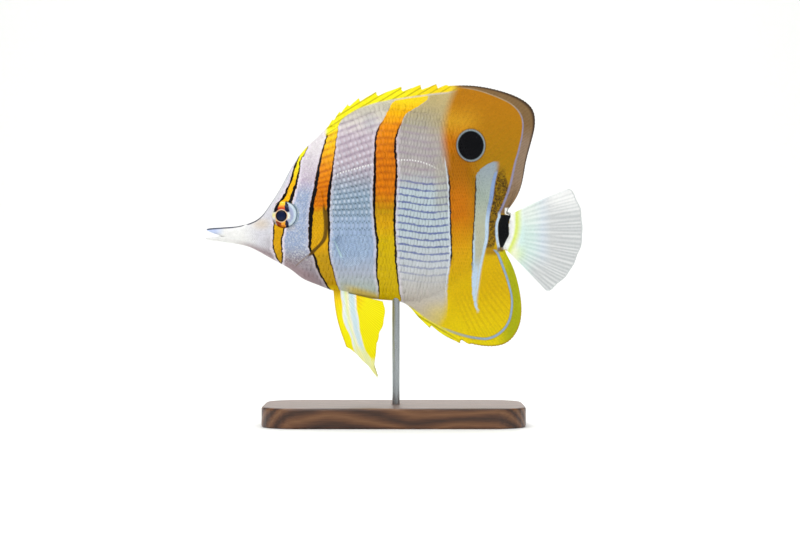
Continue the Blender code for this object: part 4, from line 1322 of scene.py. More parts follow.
    def spiny_margins(self, colour: Socket) -> Socket:
        """Clear yellow over the spiny fins, with olive streaks that lean as the spines do.

        Args:
            colour: Colour so far.

        Returns:
            The colour with this over it.
        """
        x, z = self.x, self.z
        floor = self.height(((48, 38.5), (53.2, 42.4), (54.4, 44.8), (58.8, 48.2), (64.4, 50.8), (75.2, 53.4),
                            (90, 55.6), (101, 57.2), (112, 62)))
        sheath = self.zone(self.stripe(z, self.sum(floor, -0.2), 0.35, 0.3), x=((64, 4), (98, 4)))
        colour = self.lay(colour, Pigment.FLANK_PALE, sheath, 0.8)
        yellow = self.lay(Pigment.SPINE_YELLOW, Pigment.LEMON, self.beyond(x, 84, 10))
        streak = self.under(self.zigzag(self.sum(z, x, -0.62), 1.15), 0.32, 0.2)
        yellow = self.lay(yellow, Pigment.SPINE_OLIVE, streak, 0.7)
        colour = self.lay(colour, yellow, self.zone(x=((48.4, 0.8), (100, 3)), z=((floor, 0.5), None)))
        roof = self.height(((80, -28.2), (84.4, -31.0), (88, -33.9), (92, -36.4), (96, -38.3), (102, -40.9),
                           (110, -43.6)))
        keel_streak = self.under(self.zigzag(self.sum(z, x, 0.6), 1.0), 0.38, 0.25)
        lemon = self.lay(Pigment.SPINE_YELLOW, Pigment.SPINE_OLIVE, keel_streak, 0.85)
        return self.lay(colour, lemon, self.zone(x=((81.5, 1.0), (112, 3)), z=(None, (roof, 0.7))))

    def round_line(self, centre: tuple, points: Rows) -> tuple[Socket, Socket]:
        """Distance from a centre, and a line round it: distances by angle, through side view points.

        Args:
            centre: Its centre.
            points: Side view places along the line.

        Returns:
            The distance of each place, and that of the line.
        """
        across, up = self.sum(self.x, -centre[0]), self.sum(self.z, -centre[1])
        angle = add_node(self.tree, "ShaderNodeMath", {0: up, 1: across}, operation="ARCTAN2").outputs[0]
        polar = tuple((math.atan2(z - centre[1], x - centre[0]), math.hypot(x - centre[0], z - centre[1]))
                      for x, z in points)
        return self.spot(self.x, self.z, centre), self.line(angle, polar, ANGLES, RADII)

    def dorsal_margin(self, colour: Socket) -> Socket:
        """The soft dorsal fin's brown margin, streaked by its rays, and the thin grey blue line inside it.

        Args:
            colour: Colour so far.

        Returns:
            The colour with this over it.
        """
        reach, ring = self.round_line(self.dorsal_centre, self.dorsal_line)
        top = self.zone(x=((101, 3), None), z=((7.8, 0.6), None))
        brown = self.ramp(self.z, {8: Pigment.MARGIN_BROWN, 22: Pigment.MARGIN_MAUVE,
                                   36: Pigment.MARGIN_MAUVE, 43: Pigment.MARGIN_BROWN})
        brown = self.lay(brown, Pigment.UMBER, self.span(self.ray, 0.0, 0.28))
        brown = self.lay(brown, Pigment.MARGIN_EDGE, self.beyond(self.outer, 0.968, 0.02), 0.95)
        colour = self.lay(colour, brown, self.both(self.beyond(reach, ring, 0.3), top))
        breadth = self.breadth(((8, 0.4), (30, 0.42), (44, 0.34), (52, 0.16), (58, 0.12)))
        line = self.zone(self.stripe(reach, self.sum(ring, -0.1), breadth, 0.3), top, x=((104, 5), None))
        pale = self.lay(Pigment.LAVENDER, Pigment.KHAKI, self.beyond(self.z, 48, 6))
        return self.lay(colour, pale, line, 0.9)

    def anal_margin(self, colour: Socket) -> Socket:
        """The soft anal fin's olive margin, and the blue line inside it between two dark ones.

        Args:
            colour: Colour so far.

        Returns:
            The colour with this over it.
        """
        reach, ring = self.round_line(self.anal_centre, self.anal_line)
        low = self.zone(x=((95, 3), None), z=(None, (-6.8, 0.4)))
        rim = self.ramp(self.x, {88: Pigment.ANAL_YELLOW, 116: Pigment.ANAL_YELLOW, 122: Pigment.ANAL_OLIVE},
                        STATIONS)
        rim = self.lay(rim, Pigment.ANAL_OLIVE, self.span(self.ray, 0.0, 0.28))
        rim = self.lay(rim, Pigment.OCHRE, self.beyond(self.outer, 0.985, 0.012), 0.7)
        colour = self.lay(colour, rim, self.zone(self.beyond(reach, ring, 0.3), low, x=((100, 6), None)))
        fade = self.rescale(self.x, (92, 112), (0.25, 1.0))
        dark = self.both(self.stripe(reach, ring, 0.72, 0.2), low, fade)
        colour = self.lay(colour, Pigment.COPPER_DARK, dark, 0.55)
        return self.lay(colour, Pigment.ANAL_BLUE, self.both(self.stripe(reach, ring, 0.42, 0.25), low, fade))

    def stalk(self, colour: Socket) -> Socket:
        """The tail stalk: ice blue strip, black saddle, white and lime bars, then the milky tail.

        Args:
            colour: Colour so far.

        Returns:
            The colour with this over it.
        """
        x, z = self.x, self.z
        tail = self.ramp(x, {121: Pigment.WHITE, 124: Pigment.WHITE, 126.4: Pigment.TAIL_AQUA,
                             131: Pigment.TAIL_AQUA, 135: Pigment.TAIL_BLUE, 138.5: Pigment.TAIL_MILK},
                         STATIONS)
        tail = self.lay(tail, Pigment.TAIL_CREAM, self.zone(x=(None, (134, 5)), z=((4, 5), None)), 0.6)
        tail = self.lay(tail, Pigment.TAIL_WHITE, self.zone(x=((137, 4), None), z=((10, 4), None)))
        tail = self.lay(tail, Pigment.TAIL_MILK, self.zone(x=((129, 4), None), z=(None, (-11, 5))))
        lime_at = self.station(((7, 124.8), (0, 124.4), (-2.8, 123.6), (-6, 122.2), (-9, 120.8)))
        lime = self.zone(x=((self.sum(lime_at, -0.8), 0.6), (self.sum(lime_at, 1.1), 1.5)))
        tail = self.lay(tail, Pigment.TAIL_LIME, lime)
        wash = self.both(self.stripe(x, 125, 2.5, 2.5), self.stripe(z, -8.5, 2.5, 3))
        tail = self.lay(tail, Pigment.TAIL_LIME, wash, 0.4)
        left = self.station(((6.4, 118.2), (4.4, 117.4), (1.2, 117.1), (-2.8, 117.4), (-5.6, 118.0)))
        right = self.station(((6.4, 122.2), (4.4, 121.5), (1.2, 121.5), (-0.8, 121.5), (-2.8, 120.5),
                             (-4.8, 119.6), (-6, 119)))
        strip = self.zone(x=((self.sum(left, -1.1), 0.3), (left, 0.3)), z=((-7, 1), (8, 1)))
        colour = self.lay(colour, Pigment.ICE, strip)
        above = self.zone(x=((119.9, 0.2), (124, 1)), z=((7.4, 0.3), (10, 0.4)))
        colour = self.lay(colour, Pigment.WHITE, above)
        root = self.station(((6.4, 122.4), (-0.8, 121.6), (-2.8, 120.6), (-6, 119.2), (-9, 118.6)))
        close = self.zone(x=((self.sum(root, -0.7), 0.2), None), z=((-6.6, 0.3), (9.5, 0.5)))
        colour = self.lay(self.lay(colour, tail, close), tail, self.attribute("tail"))
        foot = self.both(self.stripe(x, 118.1, 1.3, 0.5), self.stripe(z, -6.6, 0.9, 0.5))
        colour = self.lay(colour, Pigment.UMBER, foot, 0.85)
        saddle = self.zone(x=((left,), (right,)), z=((-5.9, 0.3), (7.3, 0.25)))
        return self.lay(colour, Pigment.BLACK, saddle)

    def gill_edge(self, colour: Socket) -> Socket:
        """The brown shadow line along the gill cover's rear edge and the membrane below it.

        Args:
            colour: Colour so far.

        Returns:
            The colour with this over it.
        """
        # Painted shade in the groove of the membrane fold below the gill cover.
        fold = self.height(((36.0, -13.6), (38.8, -11.2), (41.2, -9.2), (43.6, -7.8)))
        under_fold = self.zone(self.stripe(self.z, fold, 0.25, 0.3), x=((36.5, 0.6), (43.4, 0.4)))
        colour = self.lay(colour, Pigment.MARGIN_BROWN, under_fold, 0.55)
        return self.lay(colour, Pigment.UMBER, self.rescale(self.attribute("crease"), (0.12, 0.5), (0, 0.9)))

    def grain(self, colour: Socket) -> Socket:
        """Small differences of tone from scale to scale and in fine grain."""
        fine = self.rescale(self.noise(0.8, 3.0), (0.3, 0.7), (0.93, 1.05))
        return self.shade(colour, self.sum(fine, self.attribute("tint"), 0.07))


@dataclass(frozen=True)
class Finish:
    """A real surface: its name, its shader's fixed values, its paint, and the depth of its fine relief."""

    name: str
    depth_mm: float

    def fixed(self) -> dict[str, float]:
        """Values that are the same all over the surface, by socket."""
        raise NotImplementedError

    def feeds(self, paint: Painter) -> dict[str, Socket]:
        """What the paint gives the shader's sockets, with Height for the relief."""
        raise NotImplementedError

    def material(self) -> bpy.types.Material:
        """Builds the material: fixed values go straight on the shader's own sockets, relief through a bump.

        Returns:
            The material.
        """
        made = bpy.data.materials.new(self.name)
        made.use_nodes = True
        tree = made.node_tree
        shader = tree.nodes["Principled BSDF"]
        for socket, value in self.fixed().items():
            shader.inputs[socket].default_value = value
        feeds = self.feeds(Painter(tree))
        if "Height" in feeds:
            bump = {"Height": feeds.pop("Height"), "Distance": self.depth_mm * MM, "Strength": 1.0}
            feeds["Normal"] = add_node(tree, "ShaderNodeBump", bump).outputs[0]
        for socket, value in feeds.items():
            tree.links.new(value, shader.inputs[socket])
        return made


@dataclass(frozen=True)
class FishSkin(Finish):
    """Painted cast skin under a satin lacquer: a soft broad gloss with a tighter wet glint over it."""

    markings: bpy.types.NodeTree
    roughness: float
    coat: float
    pore_mm: float

    def fixed(self) -> dict[str, float]:
        """The index of a wet lacquer, a weak mirror, and a thin clear coat for the glint."""
        return {"Roughness": self.roughness, "IOR": 1.36, "Coat Weight": self.coat, "Coat Roughness": 0.2,
                "Coat IOR": 1.33, "Specular IOR Level": 0.14}

    def feeds(self, paint: Painter) -> dict[str, Socket]:
        """Markings for colour, pores for relief, and a cloudy change of gloss.

        Args:
            paint: Painter of the material.

        Returns:
            What each socket gets.
        """
        colour = add_node(paint.tree, "ShaderNodeGroup", node_tree=self.markings).outputs[0]
        rough = paint.rescale(paint.noise(2.5), (0.3, 0.7), (self.roughness - 0.06, self.roughness + 0.08))
        return {"Base Color": colour, "Height": paint.noise(self.pore_mm, 2.0), "Roughness": rough}


@dataclass(frozen=True)
class FinWeb(Finish):
    """Thin cast fin web: rays show milky, the web between them lets light and ground through."""

    depth_mm: float = 0.02
    grain_mm: float = 0.5
    web_alpha: float = 0.9
    ray_alpha: float = 1.0

    def fixed(self) -> dict[str, float]:
        """The index of clear cast resin, smooth, with a weak mirror."""
        return {"Roughness": 0.35, "IOR": 1.4, "Specular IOR Level": 0.2}

    def feeds(self, paint: Painter) -> dict[str, Socket]:
        """Colour from the fin's own paint, see-through from its ray heights.

        Args:
            paint: Painter of the material.

        Returns:
            What each socket gets.
        """
        alpha = paint.sum(paint.span(paint.attribute("ray"), self.web_alpha, self.ray_alpha),
                          paint.attribute("body"))
        alpha = add_node(paint.tree, "ShaderNodeClamp", {0: alpha}).outputs[0]
        return {"Base Color": self.colour(paint), "Alpha": alpha, "Height": paint.noise(self.grain_mm, 2.0)}

    def colour(self, paint: Painter) -> Socket:
        """The fin's own paint."""
        raise NotImplementedError


@dataclass(frozen=True)
class TailWeb(FinWeb):
    """The tail's milky web: the shared markings, lightened along the rays (their milky colour and a painted
    highlight) and darkened between by painted shade.
    """

    name: str = "milky cast tail web"
    ray_alpha: float = 0.98
    markings: bpy.types.NodeTree | None = None

    def colour(self, paint: Painter) -> Socket:
        """Markings, then white rays with a painted highlight, grey painted shade in the web between them, and
        a milky rim.

        Args:
            paint: Painter of the material.

        Returns:
            The colour.
        """
        base = add_node(paint.tree, "ShaderNodeGroup", node_tree=self.markings).outputs[0]
        along, ray = paint.attribute("along"), paint.attribute("ray")
        # Painted highlight on the ray ridges over the rays' own milky white; painted grey shade in the web
        # between them.
        white = paint.both(paint.span(ray, 0.0, 0.45), paint.beyond(along, 0.3, 0.12))
        grey = paint.both(paint.rescale(ray, (0.0, 0.4), (0.14, 0.0)), paint.beyond(along, 0.35, 0.2))
        base = paint.lay(paint.lay(base, Pigment.TAIL_WHITE, white), Pigment.RING_GREY, grey)
        return paint.lay(base, Pigment.TAIL_MILK, paint.beyond(along, 0.985, 0.01))


@dataclass(frozen=True)
class PectoralWeb(FinWeb):
    """The pectoral fins' clear web: watery blue, with white rays and a painted cyan sheen along the front
    rays.
    """

    name: str = "clear cast fin web"
    web_alpha: float = 0.05
    ray_alpha: float = 0.2

    def colour(self, paint: Painter) -> Socket:
        """Blue web, icy rays, and the painted cyan sheen over both.

        Args:
            paint: Painter of the material.

        Returns:
            The colour.
        """
        rays = paint.rescale(paint.attribute("ray"), (0.1, 0.6), SHARES)
        colour = paint.lay(Pigment.FLANK_BLUE, Pigment.ICE, rays)
        # Painted sheen: a cyan streak along the front rays.
        return paint.lay(colour, Pigment.CYAN_SHEEN, paint.attribute("front"))


@dataclass(frozen=True)
class PelvicWeb(FinWeb):
    """The pelvic fins' dense web: golden spine, white and blue streaks, and a clear yellow rear lobe."""

    name: str = "yellow cast fin web"
    spine_line: Rows = ((-23, 54.4), (-30, 55.0), (-34, 55.4), (-38, 56.6), (-42, 58.4), (-45.2, 59.4),
                        (-50, 61))
    lobe_line: Rows = ((-23, 60.2), (-28, 60.6), (-32, 61.0), (-36, 61.6), (-40, 62.2), (-44, 63.4),
                       (-48, 65.2), (-51, 67.4), (-56, 71))

    def colour(self, paint: Painter) -> Socket:
        """Streaks between the spine's line and the lobe's, the lobe with fine orange rays, then the spine.

        Args:
            paint: Painter of the material.

        Returns:
            The colour.
        """
        paint = SidePainter(paint.tree)
        z = paint.z
        x = paint.sum(paint.x, paint.rescale(paint.noise(3.0, 1.0, (1, 1, 0.4)), (0.3, 0.7), (-0.25, 0.25)))
        spine, lobe = paint.station(self.spine_line), paint.station(self.lobe_line)
        streaks = paint.ramp(paint.rescale(x, (spine, lobe), SHARES), {
            0.0: Pigment.WHITE, 0.16: Pigment.FIN_ICE, 0.32: Pigment.FIN_LIME, 0.46: Pigment.FIN_CREAM,
            0.6: Pigment.FIN_MIST, 0.8: Pigment.FIN_BLUE, 1.0: Pigment.WHITE}, SHARES)
        streaks = paint.lay(streaks, Pigment.FIN_PRIMROSE, paint.under(z, -46, 2.5), 0.8)
        amber = paint.both(paint.under(paint.attribute("along"), 0.36, 0.2), paint.beyond(x, 60, 1))
        yellow = paint.lay(Pigment.LOBE_YELLOW, Pigment.AMBER, amber, 0.75)
        yellow = paint.lay(yellow, Pigment.GOLD, paint.rescale(paint.attribute("ray"), (0, 0.35), (0.2, 0.0)))
        yellow = paint.lay(yellow, Pigment.FIN_PRIMROSE, paint.under(z, -50.3, 1.2))
        colour = paint.lay(streaks, yellow, paint.beyond(x, lobe, 0.3))
        golden = paint.ramp(z, {-50: Pigment.LOBE_YELLOW, -34: Pigment.LOBE_YELLOW, -27: Pigment.LEMON,
                                -22: Pigment.OCHRE})
        colour = paint.lay(colour, golden, paint.both(paint.under(x, spine, 0.3),
                                                      paint.beyond(z, -47.5, 1.5)))
        edge = paint.both(paint.under(paint.attribute("across"), 0.03, 0.015), paint.beyond(z, -47, 1.5))
        return paint.lay(colour, Pigment.GOLD, edge, 0.6)


@dataclass(frozen=True)
class IrisFinish(Finish):
    """Glass eye enamel under a clear coat: saturated, smooth, slightly wet."""

    name: str = "painted glass eye"
    depth_mm: float = 0.02
    pupil_centre: tuple[float, float] = (-0.65, -0.5)

    def fixed(self) -> dict[str, float]:
        """The index of a watery cornea and a clear coat for its small sharp glints."""
        return {"Roughness": 0.3, "IOR": 1.33, "Coat Weight": 0.45, "Coat Roughness": 0.04, "Coat IOR": 1.33,
                "Specular IOR Level": 0.15}

    def feeds(self, paint: Painter) -> dict[str, Socket]:
        """The eye's paint over a faintly uneven ground."""
        return {"Base Color": self.colour(paint), "Height": paint.noise(0.3, 2.0)}

    def colour(self, paint: Painter) -> Socket:
        """Navy pupil in a cream ring, the band carried across the iris, cream sides and a pale rear.

        Args:
            paint: Painter of the material.

        Returns:
            The colour.
        """
        feed = add_node(paint.tree, "ShaderNodeAttribute", attribute_name="eye_place").outputs["Vector"]
        parts = add_node(paint.tree, "ShaderNodeSeparateXYZ", {0: feed}).outputs
        wander = paint.rescale(paint.noise(0.9, 1.5), (0.3, 0.7), (-0.2, 0.2))
        a = paint.sum(paint.sum(parts[0], -self.pupil_centre[0]), wander)
        b = paint.sum(parts[1], -self.pupil_centre[1])
        colour = paint.ramp(b, {
            -6.0: Pigment.IRIS_OCHRE, -4.8: Pigment.IRIS_BRONZE, -3.6: Pigment.IRIS_ORANGE,
            -2.2: Pigment.IRIS_HONEY, 2.2: Pigment.IRIS_RUST, 3.0: Pigment.IRIS_RED, 3.8: Pigment.IRIS_FLAME,
            4.6: Pigment.IRIS_GOLD, 6.0: Pigment.IRIS_LEMON}, EYE_SPAN)
        ember = paint.both(paint.under(a, -0.1, 0.35), paint.under(b, -2.0, 0.3), paint.beyond(b, -4.3, 0.5))
        colour = paint.lay(colour, Pigment.IRIS_EMBER, ember)
        left = paint.line(b, ((-6, -1.9), (-2.4, -2.2), (0, -2.4), (2.4, -1.9), (4.4, -1.3), (6, -1.2)),
                          EYE_SPAN, EYE_SPAN)
        right = paint.line(b, ((-6, 1.8), (-2.4, 1.7), (0, 2.3), (2.2, 1.6), (4.4, 1.3), (6, 1.5)),
                           EYE_SPAN, EYE_SPAN)
        front = paint.under(a, left, 0.15)
        colour = paint.lay(colour, Pigment.IRIS_PEARL, front)
        glow = paint.both(front, paint.beyond(a, paint.sum(left, -1.5), 0.3), paint.stripe(b, 0.3, 0.9, 0.7))
        colour = paint.lay(colour, Pigment.IRIS_GLOW, glow)
        corner = paint.both(paint.under(a, left, 0.3), paint.beyond(a, paint.sum(left, -1.6), 0.5),
                            paint.stripe(b, -2.2, 0.8, 0.6))
        colour = paint.lay(colour, Pigment.IRIS_BROWN, corner, 0.6)
        shade = paint.both(paint.under(a, paint.sum(left, 0.25), 0.2), paint.beyond(b, 1.5, 0.25),
                           paint.beyond(a, paint.sum(left, -1.3), 0.25))
        colour = paint.lay(colour, Pigment.IRIS_SHADE, shade)
        rear = paint.ramp(paint.spot(parts[0], parts[1], (0.0, 0.0)), {
            3.2: Pigment.IRIS_LILAC, 4.0: Pigment.IRIS_BLUE, 4.4: Pigment.IRIS_SKY, 4.9: Pigment.IRIS_ICE,
            5.3: Pigment.IRIS_TEAL}, EYE_RADII)
        colour = paint.lay(colour, rear, paint.beyond(a, right, 0.15))
        cream = paint.both(paint.beyond(a, right, 0.12), paint.under(a, paint.sum(right, 1.3), 0.5),
                           paint.stripe(b, 0.0, 1.3, 0.6))
        colour = paint.lay(colour, Pigment.IRIS_CREAM, cream)
        depth = paint.line(b, ((-6, 0.2), (-4.6, 0.9), (-2.2, 0.9), (-1.5, 0.0), (1.2, 0.0), (1.8, 1.5),
                               (3.6, 1.5), (5.4, 0.6), (6, 0.3)), EYE_SPAN, EYE_SPAN)
        dark = paint.both(paint.beyond(a, paint.sum(right, -0.1), 0.15), paint.beyond(depth, 0.1, 0.1),
                          paint.under(a, paint.sum(right, depth), 0.2))
        colour = paint.lay(colour, Pigment.IRIS_NAVY, dark)
        colour = paint.shade(colour, paint.rescale(paint.noise(0.35, 3.0), (0.3, 0.7), (0.82, 1.15)), 0.6)
        reach = paint.spot(parts[0], parts[1], self.pupil_centre)
        colour = paint.lay(colour, Pigment.PUPIL_RING, paint.under(reach, 2.62, 0.1))
        pupil = paint.ramp(reach, {0.0: Pigment.PUPIL_NAVY, 1.5: Pigment.PUPIL_INK, 2.0: Pigment.PUPIL_BLACK},
                           EYE_RADII)
        return paint.lay(colour, pupil, paint.under(reach, Eyes.pupil, 0.06))


@dataclass(frozen=True)
class WalnutFinish(Finish):
    """Oiled walnut board, planed and sanded: dark grain with short pores and a low sheen."""

    name: str = "oiled walnut"
    depth_mm: float = 0.06
    ring_mm: float = 5.0
    pore_mm: float = 0.5

    def fixed(self) -> dict[str, float]:
        """The index of oiled wood, and the oil's own low sheen."""
        return {"IOR": 1.47, "Coat Weight": 0.12, "Coat Roughness": 0.25}

    def feeds(self, paint: Painter) -> dict[str, Socket]:
        """Growth rings that bend along the board, with fine pores in colour, gloss and relief.

        Args:
            paint: Painter of the material.

        Returns:
            What each socket gets.
        """
        bend = paint.noise(30.0, 2.0, (0.4, 1, 1))
        feed = add_node(paint.tree, "ShaderNodeTexCoord").outputs["Object"]
        parts = add_node(paint.tree, "ShaderNodeSeparateXYZ", {0: feed}).outputs
        across = paint.sum(paint.sum(bend, parts[1], 1 / (self.ring_mm * MM)), bend, 3.0)
        ring = paint.zigzag(paint.sum(across, parts[2], 0.8 / (self.ring_mm * MM)), 0.5)
        pores = paint.noise(self.pore_mm, 3.0, (0.06, 1, 1))
        tone = paint.sum(paint.rescale(ring, (0, 0.5), (0, 0.6)), pores, 0.55)
        colour = paint.ramp(tone, {0.2: Pigment.WALNUT_DARK, 0.45: Pigment.WALNUT, 0.7: Pigment.WALNUT_PALE,
                                   0.95: Pigment.WALNUT_SAP}, SHARES)
        return {"Base Color": colour, "Roughness": paint.rescale(pores, (0.3, 0.7), (0.5, 0.38)),
                "Height": pores}


@dataclass(frozen=True)
class SteelFinish(Finish):
    """Drawn stainless rod: bright metal with fine lines along its length."""

    name: str = "drawn stainless steel"
    depth_mm: float = 0.01
    line_mm: float = 0.12

    def fixed(self) -> dict[str, float]:
        """Bare metal."""
        return {"Metallic": 1.0}

    def feeds(self, paint: Painter) -> dict[str, Socket]:
        """Long thin noise for the draw lines, in colour, gloss and relief.

        Args:
            paint: Painter of the material.

        Returns:
            What each socket gets.
        """
        lines = paint.noise(self.line_mm, 2.0, (1, 1, 0.01))
        colour = paint.lay(Pigment.STEEL, Pigment.RING_GREY, paint.rescale(lines, (0.3, 0.7), (0.2, 0.6)))
        return {"Base Color": colour, "Roughness": paint.rescale(lines, (0.3, 0.7), (0.22, 0.36)),
                "Height": lines}


@dataclass(frozen=True)
class PaperFinish(Finish):
    """Matt white paper sweep: no gloss, faintly cloudy as pressed pulp is."""

    name: str = "matt white paper"
    depth_mm: float = 0.0
    cloud_mm: float = 4.0

    def fixed(self) -> dict[str, float]:
        """Matt, with the index of paper fibre."""
        return {"Roughness": 0.9, "IOR": 1.45}

    def feeds(self, paint: Painter) -> dict[str, Socket]:
        """Two near whites in soft clouds."""
        return {"Base Color": paint.lay(Pigment.TAIL_WHITE, Pigment.WHITE, paint.noise(self.cloud_mm))}


@dataclass
class Skin:
    """One skin over beak, head, gill covers, trunk, stalk, dorsal and anal fins."""

    form: FishForm
    rows: int = 134
    slit_share: float = 0.382
    crowding: float = 0.5
    upper_tip: tuple[float, float, float] = (0.62, 1.85, 0.9)
    lower_tip: tuple[float, float, float] = (0.02, -1.72, -2.6)
    tip_half: float = 0.72

    def shares(self) -> tuple[Array, int]:
        """Row shares from belly to back with the mouth's share twice, and the number of the lower one.

        Returns:
            Row shares, and the number of the lower of the twin rows.
        """
        share = spread(0, 1, self.rows, self.crowding)
        split = int(np.argmin(np.abs(share - self.slit_share)))
        share = share + (self.slit_share - share[split]) * swell(np.arange(self.rows) - split, 6)
        return np.insert(share, split + 1, share[split]), split

    def stations(self, v: Array) -> Array:
        """Columns by row: they bend with the gill cover's edge in front, and fan evenly behind.

        Args:
            v: Shares of the columns.

        Returns:
            Columns from front to rear, for each row.
        """
        gill = self.form.gill(v)[None, :]
        snout = spread(self.form.mouth_corner, self.form.snout_end, 24)[:-1, None] + 0 * gill
        head = self.form.snout_end + (gill - 0.06 - self.form.snout_end) * spread(0, 1, 72)[:, None]
        trunk = gill + 0.06 + (self.form.fan_start - gill - 0.06) * spread(0, 1, 70)[:, None]
        fan = spread(self.form.fan_start, self.form.stalk_end, 172)[1:, None] + 0 * gill
        return np.concatenate([snout, head, trunk, fan])

    def jaw_columns(self, v: Array, split: int, count: int = 14) -> tuple[Array, Array]:
        """The parted beak in front of the mouth corner.

        Each jaw's height runs straight from corner to tip and closes as the root of 1 less along to the
        sixth; across, it is an oval.

        Args:
            v: Row shares.
            split: Number of the lower lip's row.
            count: Number of columns, from the tips back.

        Returns:
            Side view places and half widths.
        """
        along = spread(1, 0, count, 0.7)[:-1, None]
        closing = np.sqrt(np.clip(1 - along**6, 0, 1))
        upper = np.arange(len(v)) > split
        tip_x = np.where(upper, self.upper_tip[0], self.lower_tip[0])[None, :]
        x = self.form.mouth_corner + (tip_x - self.form.mouth_corner) * along
        corner = self.form.side(self.form.mouth_corner, v)[:, 1][None, :]
        top_share = np.where(upper, (v - v[split + 1]) / (1 - v[split + 1]), v / v[split])[None, :]
        tip_low = np.where(upper, self.upper_tip[2], self.lower_tip[2])[None, :]
        tip_high = np.where(upper, self.upper_tip[1], self.lower_tip[1])[None, :]
        tip_z = tip_low + (tip_high - tip_low) * top_share
        middle = (tip_low + tip_high) / 2
        z = corner * (1 - along) + (middle + (tip_z - middle) * closing) * along
        lens = np.sqrt(np.clip(1 - (2 * top_share - 1) ** 2, 0, 1))
        whole = self.form.half_width(self.form.mouth_corner, v)[None, :]
        parted = whole * np.minimum(1, self.groove(np.abs(v - v[split]) * 5.7, 0.9)[None, :])
        past = ease(along * 2)
        width = parted * (1 - past) + lens * (1.85 + (self.tip_half - 1.85) * along) * past
        return np.stack(np.broadcast_arrays(x, z), axis=-1), width * closing

    @staticmethod
    def groove(distance: Array, reach: float) -> Array:
        """Quarter circle that rises from 0 at a line to 1 at its reach."""
        return np.sqrt(np.clip(1 - np.clip(1 - distance / reach, 0, 1) ** 2, 0, 1))

    def tail_root(self, v: Array, count: int = 12) -> tuple[Array, Array]:
        """The scaly end that tapers over the tail fin's root, closing as a power of what is left.

        Args:
            v: Shares of the columns.
            count: Number of columns.

        Returns:
            Side view places and half widths.
        """
        along = np.linspace(0, 1, count)[1:, None]
        place, width = self.form.skin(self.form.stalk_end, v)
        x = place[None, :, 0] + 4.6 * along - 1.4 * along * np.abs(2 * v[None, :] - 1) ** 2
        z = place[None, :, 1] * (1 + np.where(v > 0.5, -0.1, 0.14)[None, :] * along)
        return np.stack([x, z], axis=-1), width[None, :] * (1 - along) ** 0.8

    def build(self, finish: bpy.types.Material) -> bpy.types.Object:
        """Joins the columns of both sides, welds them and stores what the paint reads.

        Args:
            finish: Material of its pieces.

        Returns:
            The skin's object.
        """
        form = self.form
        v, split = self.shares()
        u = self.stations(v)
        place, width = form.skin(u, v[None, :])
        near = self.groove(np.abs(v - v[split]) * 5.7, 0.9)[None, :]
        opening = 1 - ease((u - form.mouth_corner) / 1.8)
        width = width * (1 - (1 - near) * opening)
        jaw_place, jaw_width = self.jaw_columns(v, split)
        root_place, root_width = self.tail_root(v)
        places = np.concatenate([jaw_place, place, root_place])
        widths = np.concatenate([jaw_width, width, root_width])
        columns, rows = widths.shape
        fin_share, ray, crease = np.zeros((3, columns, rows))
        body = slice(len(jaw_place), len(jaw_place) + len(u))
        fin_share[body] = form.fin_place(u, v[None, :])[1]
        ray[body] = form.rays(u, v[None, :], fin_share[body]) * ease(fin_share[body] / 0.25)
        crease[body] = form.crease(u, v[None, :])
        points, faces = [], []
        keep = np.ones((columns - 1, rows - 1), bool)
        keep[:, split] = False
        for side in Side:
            start = columns * rows * len(points)
            points.append(np.stack([places[..., 0], side.value * widths, places[..., 1]],
                                   axis=-1).reshape(-1, 3))
            faces.append(grid_faces(columns, rows, start, side is Side.RIGHT)[keep.ravel()])
        cap = np.arange(rows) + (columns - 1) * rows
        faces.append(np.stack([cap[:-1], cap[1:], cap[1:] + columns * rows, cap[:-1] + columns * rows],
                              axis=-1))
        mesh = raw_mesh("skin", np.concatenate(points), [np.concatenate(faces)])
        row = form.row_phase(places[..., 0], places[..., 1])
        for name, values in (("row", row), ("outer", fin_share), ("ray", ray), ("crease", crease)):
            set_attribute(mesh, name, np.tile(values.ravel(), 2))
        turn_outwards(mesh, COINCIDE)
        nodes = ("upper_jaw", "lower_jaw", "snout", "head", "gill_cover_left", "gill_cover_right", "trunk",
                 "tail_stalk", "dorsal_fin_spiny", "dorsal_fin_soft", "anal_fin_spiny", "anal_fin_soft")
        return add_piece(mesh, finish, nodes)


@dataclass
class Lattice:
    """Where scales root and how they lie: columns, shares, headings in radians, and sizes in millimetres."""

    u: Array
    v: Array
    heading: Array
    long: Array
    wide: Array

    def where(self, keep: Array) -> "Lattice":
        """The scales that are kept."""
        return Lattice(self.u[keep], self.v[keep], self.heading[keep], self.long[keep], self.wide[keep])

    @staticmethod
    def joined(parts: list["Lattice"]) -> "Lattice":
        """Several lattices as one."""
        names = ("u", "v", "heading", "long", "wide")
        return Lattice(*[np.concatenate([getattr(part, name) for part in parts]) for name in names])


@dataclass(frozen=True)
class ScaleShape:
    """Form of one kind of scale: heights in millimetres, and how square its rear edge is cut."""

    lift: float
    arch: float
    square: float


